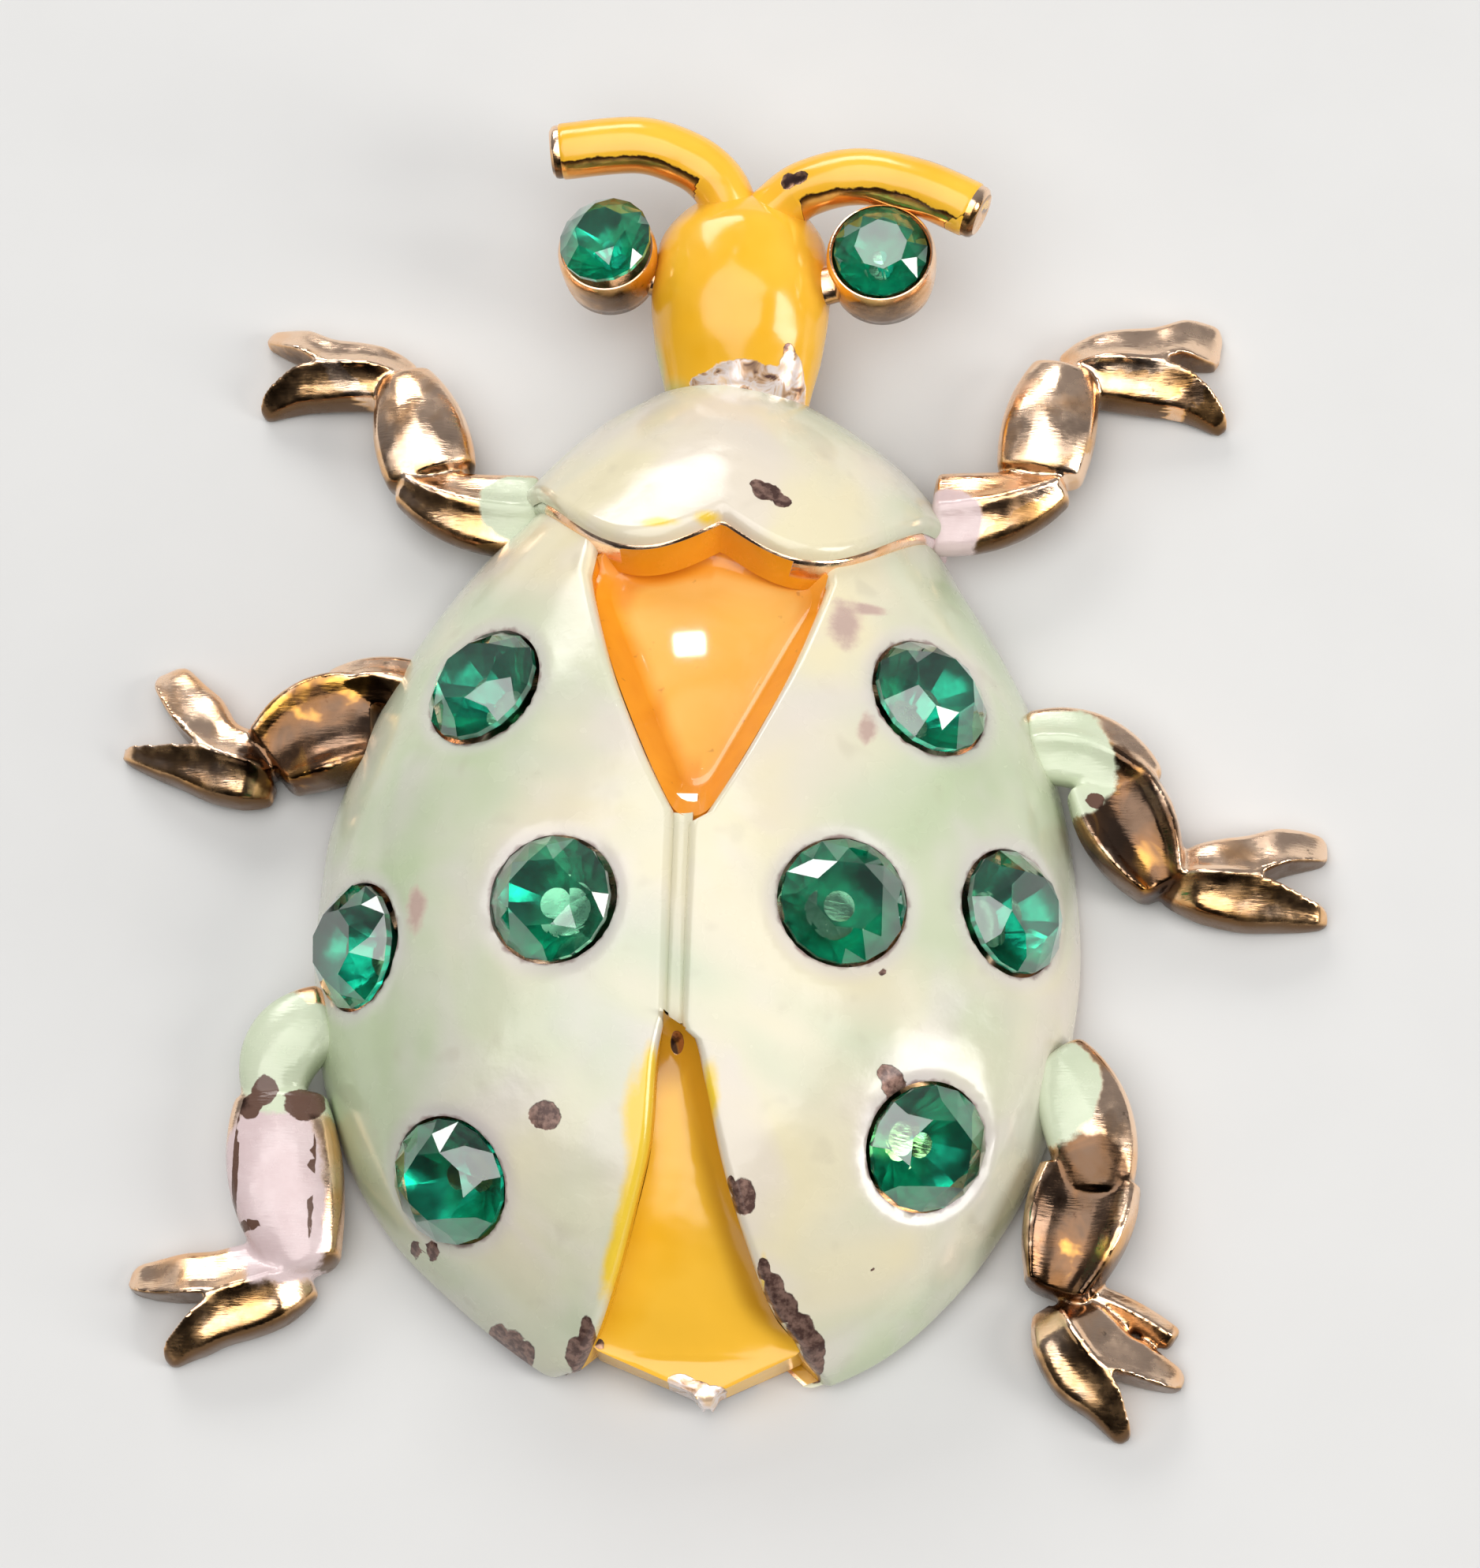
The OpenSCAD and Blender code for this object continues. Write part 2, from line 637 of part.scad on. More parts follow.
function leg_ring(hip, row, section, heights, t, grow) =
    let (
        at = leg_point(hip, row, t),
        ahead = unit(leg_point(hip, row, t + eps) - leg_point(hip, row, t - eps)),
        side = [ahead[1], -ahead[0]] * (through(row[WIDTHS], t) * leg_w / 2 + grow),
        over = t == 0 ? -grow : t == 1 ? grow : 0,
        low = leg_h * (heights[0] * (1 - t) + heights[1] * t),
        top = leg_h * through([heights[2], heights[3], heights[4]], t) + grow
    )
    [for (corner = section)
        [
            at[0] + ahead[0] * over + side[0] * corner[0],
            at[1] + ahead[1] * over + side[1] * corner[0],
            low + (top - low) * corner[1]
        ]];
module leg_piece(hip, row, section, heights, grow) {
    tube([for (i = [0:leg_steps]) leg_ring(hip, row, section, heights, i / leg_steps, grow)], leg_swell);
}
module leg(hip, rows, grow) {
    for (i = [0:len(rows) - 1])
        leg_piece(hip, rows[i], LEG_SECTIONS[i], LEG_HEIGHTS[i], grow);
}
module legs(grow = 0) {
    leg(HIP_FRONT_L, FRONT_LEFT, grow);
    leg(HIP_FRONT_R, FRONT_RIGHT, grow);
    leg(HIP_MIDDLE_L, MIDDLE_LEFT, grow);
    leg(HIP_MIDDLE_R, MIDDLE_RIGHT, grow);
    leg(HIP_REAR_L, REAR_LEFT, grow);
    leg(HIP_REAR_R, concat(REAR_RIGHT, [SPUR]), grow);
}

// The two bosses inside the dome that the pin back's bar lies against
boss_lap = wall_t * 0.3;
module bosses() {
    low = bar_top + bar_gap;
    for (side = [LEFT, RIGHT])
        translate([side * boss_x, pin_y, low])
            cylinder(d = boss_d, h = surface_z(boss_x, pin_y) - boss_lap - low, $fn = round_sides);
}

// How deep the roots of the legs reach into the cast wall
root_lap = wall_t * 0.6;

module casting() {
    color("#c9a27e")
        difference() {
            union() {
                difference() {
                    union() {
                        difference() {
                            body_loft(0);
                            tail_plan(0);
                            groove_plan(groove_w, groove_over);
                        }
                        intersection() {
                            body_loft(-groove_d);
                            groove_plan(2 * groove_w, 0);
                        }
                        body_loft(-recess_d);
                        tail_point(0);
                        intersection() {
                            body_loft(collar_step);
                            collar_plan(0);
                        }
                    }
                    shield_space(0);
                    body_loft(-wall_t, -1);
                }
                head_loft(0);
                feeler(FEELER_L);
                feeler(FEELER_R);
                eye_cup(EYE_PLACE_L);
                eye_cup(EYE_PLACE_R);
                difference() {
                    legs();
                    body_loft(-root_lap, -1);
                }
                bosses();
            }
            for (place = concat(PLACES_LEFT, PLACES_RIGHT))
                seated(place)
                    stone_seat(stone_d);
            in_cup(EYE_PLACE_L, eye_proud[0])
                stone_seat(eye_d);
            in_cup(EYE_PLACE_R, eye_proud[1])
                stone_seat(eye_d);
        }
}

// The mint coat on one wing cover
module wing_enamel(side, places) {
    color("#cfd6be")
        difference() {
            body_coat(enamel_gap, coat);
            translate([seam_x + side * (groove_w - far) / 2, 0, 0])
                cube([far, far, far], center = true);
            tail_plan(-enamel_gap);
            collar_plan(-enamel_gap);
            shield_space(-enamel_gap);
            enamel_holes(places);
            legs(enamel_gap);
        }
}

module collar_enamel() {
    color("#cfd6be")
        difference() {
            intersection() {
                body_coat(collar_step + enamel_gap, collar_step + coat);
                collar_plan(collar_line);
            }
            head_loft(enamel_gap);
            shield_space(-collar_line);
            legs(enamel_gap);
        }
}

module head_enamel() {
    coat_ends = [[-3 * feeler_bare, coat], [-feeler_bare, 0]];
    cut_ends = [[feeler_bare, enamel_gap]];
    color("#f9c843")
        difference() {
            union() {
                head_loft(coat);
                feeler(FEELER_L, coat, coat_ends);
                feeler(FEELER_R, coat, coat_ends);
            }
            head_loft(enamel_gap);
            feeler(FEELER_L, enamel_gap, cut_ends);
            feeler(FEELER_R, enamel_gap, cut_ends);
            eye_cup(EYE_PLACE_L, enamel_gap);
            eye_cup(EYE_PLACE_R, enamel_gap);
            translate([0, head_y + neck_bare - far / 2, 0])
                cube([far, far, far], center = true);
            cube([far, far, head_h], center = true);
        }
}

module shield_enamel() {
    color("#f0a030")
        intersection() {
            difference() {
                shield_space(enamel_gap, enamel_gap);
                shield_space(coat, coat);
            }
            body_loft(0);
        }
}

module tail_enamel() {
    color("#f7cb3a")
        difference() {
            intersection() {
                union() {
                    body_loft(coat - recess_d);
                    tail_point(coat);
                }
                tail_plan(enamel_gap);
            }
            body_loft(enamel_gap - recess_d, -1);
            tail_point(enamel_gap);
            cube([far, far, 2 * enamel_edge], center = true);
        }
}

module stone(place) {
    color("#0f8a5f")
        seated(place)
            cut_stone(stone_d);
}

module eye(place, proud) {
    color("#0f7a66")
        in_cup(place, proud)
            cut_stone(eye_d);
}

// The pin back: a bar with a block at each end and the stem between them, lying across the body
block_low = stem_z - stem_d;
catch_share = 0.7;
module pin_block(x, width) {
    translate([x, -width / 2, block_low])
        cube([block_l, width, bar_low - block_low + bar_t / 2]);
}
module pin_back() {
    color("#b9a07c")
        translate([0, pin_y, 0]) {
            translate([-bar_end, -bar_w / 2, bar_low])
                cube([2 * bar_end, bar_w, bar_t]);
            pin_block(-bar_end, bar_w);
            pin_block(bar_end - block_l, bar_w * catch_share);
            translate([block_l / 2 - bar_end, 0, stem_z])
                rotate([0, 90, 0])
                    cylinder(d = stem_d, h = 2 * bar_end - block_l, $fn = round_sides);
        }
}

casting();
wing_enamel(LEFT, PLACES_LEFT);  // wing_enamel_left
wing_enamel(RIGHT, PLACES_RIGHT);  // wing_enamel_right
collar_enamel();
head_enamel();
shield_enamel();
tail_enamel();
stone(PLACE_FRONT_L);  // stone_front_left
stone(PLACE_FRONT_R);  // stone_front_right
stone(PLACE_INNER_L);  // stone_inner_left
stone(PLACE_INNER_R);  // stone_inner_right
stone(PLACE_OUTER_L);  // stone_outer_left
stone(PLACE_OUTER_R);  // stone_outer_right
stone(PLACE_REAR_L);  // stone_rear_left
stone(PLACE_REAR_R);  // stone_rear_right
eye(EYE_PLACE_L, eye_proud[0]);  // eye_left
eye(EYE_PLACE_R, eye_proud[1]);  // eye_right
pin_back();
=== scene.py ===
import math

import bpy
import bmesh
import numpy as np
from mathutils import Matrix, Vector


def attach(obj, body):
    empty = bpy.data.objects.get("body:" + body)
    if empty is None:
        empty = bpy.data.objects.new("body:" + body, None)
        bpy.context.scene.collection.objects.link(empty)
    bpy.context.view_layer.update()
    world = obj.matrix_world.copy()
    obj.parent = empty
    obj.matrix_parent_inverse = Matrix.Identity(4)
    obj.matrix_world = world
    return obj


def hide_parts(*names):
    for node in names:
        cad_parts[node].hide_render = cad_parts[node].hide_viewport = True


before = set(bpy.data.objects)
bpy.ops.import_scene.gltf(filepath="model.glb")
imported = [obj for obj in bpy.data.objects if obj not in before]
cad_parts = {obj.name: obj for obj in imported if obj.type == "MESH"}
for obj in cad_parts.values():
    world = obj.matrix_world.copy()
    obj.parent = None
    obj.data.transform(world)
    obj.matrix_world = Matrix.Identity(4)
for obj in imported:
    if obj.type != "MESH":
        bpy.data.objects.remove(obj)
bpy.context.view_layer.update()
mm = 0.001

# the body's own shape, in mm
body = {
    "halfWidth": 9.25, "length": 25.2, "crown": 5.85, "wall": 1.5, "recess": 0.85,
    "grooveWidth": 0.35, "grooveDepth": 0.35, "gap": 0.04, "coat": 0.29, "coatEdge": 0.35,
}
# along, left, right and top of each row, shares of the length, half the width and the crown's height
bodyRows = np.array([
    [-0.441, 0.22, 0.26, 0.13], [-0.427, 0.31, 0.37, 0.26], [-0.399, 0.43, 0.51, 0.40],
    [-0.353, 0.59, 0.65, 0.55], [-0.297, 0.75, 0.77, 0.70], [-0.222, 0.88, 0.88, 0.85],
    [-0.119, 0.97, 0.96, 0.96], [-0.012, 1.00, 0.99, 1.00], [0.087, 0.985, 0.965, 1.00],
    [0.187, 0.905, 0.90, 0.97], [0.278, 0.79, 0.785, 0.90], [0.357, 0.645, 0.655, 0.815],
    [0.411, 0.505, 0.565, 0.735], [0.455, 0.395, 0.465, 0.635], [0.490, 0.29, 0.345, 0.525],
    [0.516, 0.17, 0.23, 0.42],
])


def smoothTable(xs, ys, count=800):
    # a dense table of a curve that passes through the rows without overshooting
    xs, ys = np.asarray(xs, float), np.asarray(ys, float)
    h, d = np.diff(xs), np.diff(ys) / np.diff(xs)
    m = np.zeros(len(xs))
    for i in range(1, len(xs) - 1):
        if d[i - 1] * d[i] > 0:
            w1, w2 = 2 * h[i] + h[i - 1], h[i] + 2 * h[i - 1]
            m[i] = (w1 + w2) / (w1 / d[i - 1] + w2 / d[i])
    m[0], m[-1] = d[0], d[-1]
    x = np.linspace(xs[0], xs[-1], count)
    k = np.clip(np.searchsorted(xs, x) - 1, 0, len(h) - 1)
    t = (x - xs[k]) / h[k]
    y = ((2 * t**3 - 3 * t**2 + 1) * ys[k] + (t**3 - 2 * t**2 + t) * h[k] * m[k]
         + (3 * t**2 - 2 * t**3) * ys[k + 1] + (t**3 - t**2) * h[k] * m[k + 1])
    return x, y


leftTable, rightTable, topTable = (smoothTable(bodyRows[:, 0], bodyRows[:, c]) for c in (1, 2, 3))


def halfAt(a, side):
    return np.interp(a, *(leftTable if side < 0 else rightTable)) * body["halfWidth"]


def halfFor(a, x):
    return np.where(np.asarray(x) < 0, halfAt(a, -1), halfAt(a, 1))


def topAt(a):
    return np.interp(a, *topTable) * body["crown"]


def domePoint(a, u, grow):
    # a along the dome, u radians from the crown (left is negative), grown outward
    return np.stack(np.broadcast_arrays(
        (halfFor(a, u) + grow) * np.sin(u),
        np.asarray(a) * (body["length"] + 2 * grow),
        (topAt(a) + grow) * np.cos(u)), axis=-1)


def domeZ(x, y, grow=0.0):
    a = np.asarray(y) / body["length"]
    half = halfFor(a, x) + grow
    return (topAt(a) + grow) * np.sqrt(np.clip(1 - (x / half) ** 2, 0, 1))


def angleAt(a, x):
    return np.arcsin(np.clip(x / halfFor(a, x), -1, 1))


def clustered(n, sharp=1.6):
    # n steps from 0 to 1 that lie closer together at both ends
    t = np.linspace(-1, 1, n)
    return (np.tanh(sharp * t) / math.tanh(sharp) + 1) / 2


def rolled(distance, radius):
    # share of the full height of an edge that is rounded over this radius
    d = np.clip(distance / radius, 0, 1)
    return np.sqrt(1 - (1 - d) ** 2)


def linked(name, data):
    piece = bpy.data.objects.new(name, data)
    bpy.context.scene.collection.objects.link(piece)
    return piece


def reworked(mesh, change):
    work = bmesh.new()
    work.from_mesh(mesh)
    change(work)
    work.to_mesh(mesh)
    work.free()


def smoothByAngle(piece, angle):
    limit = math.radians(angle)

    def smooth(work):
        for face in work.faces:
            face.smooth = True
        for edge in work.edges:
            edge.smooth = len(edge.link_faces) == 2 and edge.calc_face_angle(4.0) < limit

    reworked(piece.data, smooth)


def solidFrom(name, points, faces, angle=38.0):
    def clean(work):
        bmesh.ops.remove_doubles(work, verts=work.verts, dist=2e-7)
        bmesh.ops.dissolve_degenerate(work, edges=work.edges, dist=1e-7)
        bmesh.ops.recalc_face_normals(work, faces=work.faces)

    mesh = bpy.data.meshes.new(name)
    mesh.from_pydata([tuple(p) for p in np.asarray(points) * mm], [], faces)
    reworked(mesh, clean)
    piece = linked(name, mesh)
    smoothByAngle(piece, angle)
    return piece


def gridFaces(rows, cols, start=0, closedAcross=False):
    last = cols if closedAcross else cols - 1
    return [(start + i * cols + j, start + i * cols + (j + 1) % cols,
             start + (i + 1) * cols + (j + 1) % cols, start + (i + 1) * cols + j)
            for i in range(rows - 1) for j in range(last)]


def slabOf(top, bottom):
    # points and faces of a closed slab between two grids of as many places
    rows, cols = top.shape[:2]
    count = rows * cols
    faces = gridFaces(rows, cols) + [f[::-1] for f in gridFaces(rows, cols, count)]
    rim = (list(range(cols)) + [i * cols + cols - 1 for i in range(1, rows)]
           + [(rows - 1) * cols + j for j in range(cols - 2, -1, -1)]
           + [i * cols for i in range(rows - 2, 0, -1)])
    for k, a in enumerate(rim):
        b = rim[(k + 1) % len(rim)]
        faces.append((b, a, a + count, b + count))
    return np.concatenate([top.reshape(-1, 3), bottom.reshape(-1, 3)]), faces


def sheetSlab(x, y, top, bottom):
    return slabOf(np.stack([x, y, top], -1), np.stack([x, y, bottom], -1))


def tubeOf(rings):
    # points and faces of a closed tube through rings of as many points, its ends closed by a fan
    rings = [np.asarray(r) for r in rings]
    n = len(rings[0])
    points = np.concatenate(rings + [rings[0].mean(0)[None], rings[-1].mean(0)[None]])
    faces = gridFaces(len(rings), n, 0, True)
    tail, tip, last = len(points) - 2, len(points) - 1, (len(rings) - 1) * n
    faces += [(tail, (i + 1) % n, i) for i in range(n)]
    faces += [(tip, last + i, last + (i + 1) % n) for i in range(n)]
    return points, faces


def spun(profile, sides, place=(0, 0)):
    # rings of a turned form from (radius, height) pairs
    t = np.linspace(0, 2 * math.pi, sides, endpoint=False)
    return [np.stack([r * np.cos(t) + place[0], r * np.sin(t) + place[1], np.full(sides, z)], 1)
            for r, z in profile]


def joined(parts):
    points, faces, start = [], [], 0
    for p, f in parts:
        points.append(np.asarray(p))
        faces += [tuple(i + start for i in face) for face in f]
        start += len(p)
    return np.concatenate(points), faces


def merge(piece, other):
    reworked(piece.data, lambda work: work.from_mesh(other.data))
    bpy.data.objects.remove(other)
    return piece


def applied(piece):
    # the modifiers turned into plain mesh
    graph = bpy.context.evaluated_depsgraph_get()
    mesh = bpy.data.meshes.new_from_object(piece.evaluated_get(graph))
    piece.modifiers.clear()
    old = piece.data
    piece.data = mesh
    bpy.data.meshes.remove(old)
    return piece


def dress(piece, slot, *cadNodes):
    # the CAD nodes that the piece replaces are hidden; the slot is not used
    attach(piece, "root")
    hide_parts(*cadNodes)


# outlines of the collar, the shield and the tail
collar = {"peakX": 0.06 * body["halfWidth"], "peakY": 0.373 * body["length"], "span": 0.54 * body["halfWidth"],
          "skew": -0.06, "scallop": 1.1, "step": 0.45, "line": 0.2, "front": 0.516, "roll": 0.24}


def scallopY(x):
    u = np.abs(x - collar["peakX"]) / collar["span"]
    return (collar["peakY"] + collar["skew"] * (x - collar["peakX"])
            + collar["scallop"] * (u**2 - np.sin(math.pi * np.minimum(u, 1))))


def plainCrown(y):
    return float(np.interp(y / body["length"], bodyRows[:, 0], bodyRows[:, 3]) * body["crown"])


shield = {"width": 6.3, "length": 7.6, "run": 0.8, "midShare": 0.03, "x": 0.0925, "bend": 0.45,
          "floorAt": 0.62, "cup": 0.10, "rim": 0.45, "foot": 0.05, "wall": 0.52, "wallShadeLean": 0.08,
          "wallShadeAhead": 0.40, "wallShadeFade": 0.28}
shield["tipY"] = collar["peakY"] - shield["length"] - collar["scallop"] * 0.2
shield["tipZ"] = plainCrown(shield["tipY"])
shield["fall"] = math.atan2(shield["tipZ"] - plainCrown(shield["tipY"] + shield["length"]), shield["length"])
shieldCorners = [[-0.05, 0], [0.06, 0], [0.53, 0.82], [0.53, 0.91], [0.03, 1.05], [-0.46, 0.96],
                 [-0.47, 0.85]]
shieldAngle = math.atan(0.5 * shield["width"] / (0.82 * shield["length"]))
shieldMid = np.array([shield["midShare"] * shield["width"], shield["length"] / (1 + math.sin(shieldAngle))])
shieldInner = shieldMid[1] * math.sin(shieldAngle)

seamX = -0.033 * body["halfWidth"]
grooveX = seamX + 0.22  # the groove bends a little to the right
tail = {"width": 4.7, "length": 7.6, "y": -0.131 * body["length"], "soft": 0.16, "wall": 0.42, "rise": 0.55}
# share of the tail's length and of its width
tailLeft = smoothTable(*np.array([
    [0.0, 0.0], [0.12, 0.035], [0.35, 0.06], [0.56, 0.14], [0.80, 0.265], [0.947, 0.386], [0.98, 0.435],
    [1.007, 0.52], [1.03, 0.60], [1.30, 0.62]]).T)
tailRight = smoothTable(*np.array([
    [0.0, 0.0], [0.06, 0.15], [0.17, 0.20], [0.43, 0.30], [0.65, 0.42], [0.84, 0.56], [0.895, 0.644],
    [0.947, 0.703], [0.987, 0.778], [1.02, 0.87], [1.30, 0.90]]).T)


def tailEdge(y, side):
    share = (tail["y"] - y) / tail["length"]
    return seamX + side * np.interp(share, *(tailLeft if side < 0 else tailRight)) * tail["width"]


def shieldHeight(x, y):
    # height of the dome above the shield's tilted plane
    plane = shield["tipZ"] - (y - shield["tipY"]) * math.tan(shield["fall"])
    return domeZ(x, y) - plane


def shieldSide(y, side):
    # where the shield's wall meets the dome, left or right
    tip, corner = (shieldCorners[i] for i in ((1, 2) if side > 0 else (0, 6)))
    share = np.clip((y - shield["tipY"]) / shield["length"] / corner[1], 0, 1)
    base = shield["x"] + (tip[0] + (corner[0] - tip[0]) * share) * shield["width"]
    x = base
    for _ in range(6):
        x = base + side * shieldHeight(x, y) * shield["run"] / body["recess"]
    return x


def innerEdge(y, side):
    # the inner boundary of a wing cover: shield, groove or tail
    groove = np.full(y.shape, grooveX + side * body["grooveWidth"] / 2)
    edge = groove.copy()
    for part, outline in ((y > shield["tipY"], shieldSide), (y < tail["y"], tailEdge)):
        edge[part] = side * np.maximum(side * outline(y[part], side), side * groove[part])
    return edge


# chips, wear and slopped colour: x and y on the body in mm, half width and half height of each
coverSpots = {
    "chip": [(-3.11, -5.57, 0.36, 0.30), (5.08, -4.53, 0.24, 0.36), (4.86, -4.30, 0.16, 0.18),
             (-6.46, -8.05, 0.13, 0.16), (-5.99, -8.18, 0.15, 0.20), (-4.45, -10.08, 0.28, 0.24),
             (-4.05, -10.28, 0.30, 0.26), (-3.72, -10.45, 0.22, 0.22), (-2.40, -10.62, 0.26, 0.30),
             (-2.12, -10.25, 0.17, 0.34), (1.62, -7.30, 0.26, 0.36), (1.32, -6.98, 0.10, 0.12),
             (2.10, -8.80, 0.14, 0.20), (2.32, -9.20, 0.22, 0.26), (2.60, -9.58, 0.28, 0.28),
             (2.95, -9.95, 0.30, 0.28), (3.22, -10.30, 0.26, 0.30), (3.22, -10.62, 0.22, 0.22),
             (4.66, -1.95, 0.14, 0.14), (5.19, -8.13, 0.055, 0.055), (4.66, -8.57, 0.06, 0.06),
             (1.60, 10.16, 0.30, 0.24), (1.98, 9.92, 0.22, 0.16), (1.35, 10.36, 0.16, 0.14),
             (-1.36, -0.36, 0.16, 0.05), (-1.62, -0.52, 0.10, 0.06)],
    "pink": [(4.05, 7.35, 0.50, 0.16), (-6.50, -0.42, 0.26, 0.62), (4.25, 4.04, 0.22, 0.42),
             (3.60, 6.85, 0.40, 0.62)],
    "slop": [(-0.93, -5.7, 0.30, 1.15), (0.80, -5.15, 0.22, 0.75), (-0.6, -4.5, 0.18, 0.5),
             (2.1, -8.9, 0.10, 0.4), (0.2, 9.35, 0.35, 0.18), (-1.0, 9.2, 0.5, 0.14)],
}
headSpots = {
    "patch": [(-0.15, 13.70, 0.45, 0.32), (0.35, 13.80, 0.5, 0.40), (0.95, 13.85, 0.55, 0.42),
              (1.5, 13.75, 0.5, 0.45), (1.95, 13.9, 0.30, 0.65), (0.9, 13.5, 1.4, 0.25)],
    "chip": [(1.75, 18.95, 0.16, 0.2), (2.05, 19.0, 0.2, 0.16), (1.9, 14.6, 0.14, 0.2)],
    "mintRun": [(-1.4, 13.4, 0.7, 0.55), (-1.6, 14.2, 0.25, 0.8), (-0.3, 13.2, 0.9, 0.25)],
}
tailSpots = {
    "chip": [(-0.03, -3.80, 0.14, 0.2), (-1.9, -10.3, 0.1, 0.1), (0.62, -11.32, 0.14, 0.10)],
    "patch": [(0.05, -11.08, 0.28, 0.16), (0.45, -11.25, 0.30, 0.16), (0.85, -11.50, 0.36, 0.28)],
}
legSpots = {
    "chip": [(-10.3, -4.3, 0.30, 0.35), (-10.6, -4.7, 0.25, 0.3), (9.7, 3.45, 0.22, 0.2),
             (-10.9, -6.3, 0.07, 1.3), (-9.0, -6.6, 0.07, 1.2), (-10.5, -7.6, 0.30, 0.12),
             (-9.3, -4.6, 0.45, 0.4)],
    "mint": [(-10.0, -3.3, 1.0, 1.3), (8.9, 4.4, 1.1, 1.2), (-4.8, 11.0, 0.9, 0.8), (-9.2, -3.5, 1.0, 1.2),
             (9.0, -3.9, 0.8, 1.1)],
    "lavender": [(-10.0, -6.6, 1.1, 2.0), (-9.6, -7.8, 0.8, 1.0), (6.0, 10.7, 0.7, 0.75)],
}


def setSpots(piece, p, tables):
    # highest in the middle of each spot, down to 0 at twice its size
    for name, spots in tables.items():
        best = np.zeros(len(p))
        for x, y, rx, ry in spots:
            d = np.sqrt(((p[:, 0] - x) / rx) ** 2 + ((p[:, 1] - y) / ry) ** 2)
            best = np.maximum(best, np.clip(1.5 - d * 0.75, 0, 1.5))
        setField(piece, name, best)
    return best  # of the last table


def setField(piece, name, values):
    if name not in piece.data.attributes:
        piece.data.attributes.new(name, "FLOAT", "POINT")
    piece.data.attributes[name].data.foreach_set("value", np.asarray(values, np.float32))


def vertexValues(piece, key):
    p = np.empty(len(piece.data.vertices) * 3)
    piece.data.vertices.foreach_get(key, p)
    return p.reshape(-1, 3)


def pointsOf(piece):
    return vertexValues(piece, "co") / mm


def fromSeats(p):
    # distance in mm from the rim of the nearest stone's seat, along the surface
    nearest = np.full(len(p), 9.0)
    for seat in wingSeats.values():
        local = (np.array(seat.inverted()) @ np.column_stack([p, np.ones(len(p))]).T).T
        away = np.hypot(local[:, 0], local[:, 1]) - seatRadius
        nearest = np.where(np.abs(local[:, 2]) < 1.5, np.minimum(nearest, away), nearest)
    return nearest


# yellow that crept over the tail's left edge, in mm
creep = {"width": 0.30, "from": -10.2, "fadeIn": 1.5, "to": -3.9, "fadeOut": 0.8}


def wearFields(piece):
    p = pointsOf(piece)
    slopped = setSpots(piece, p, coverSpots)
    beside = (tailEdge(p[:, 1], -1) - p[:, 0]) / creep["width"]
    along = (np.clip((p[:, 1] - creep["from"]) / creep["fadeIn"], 0, 1)
             * np.clip((creep["to"] - p[:, 1]) / creep["fadeOut"], 0, 1))
    setField(piece, "slop", np.maximum(slopped, np.clip(2.1 - beside, 0, 1.5) * along * (p[:, 0] < 0)))
    setField(piece, "ring", np.clip(1 - fromSeats(p) / 0.6, 0, 1))


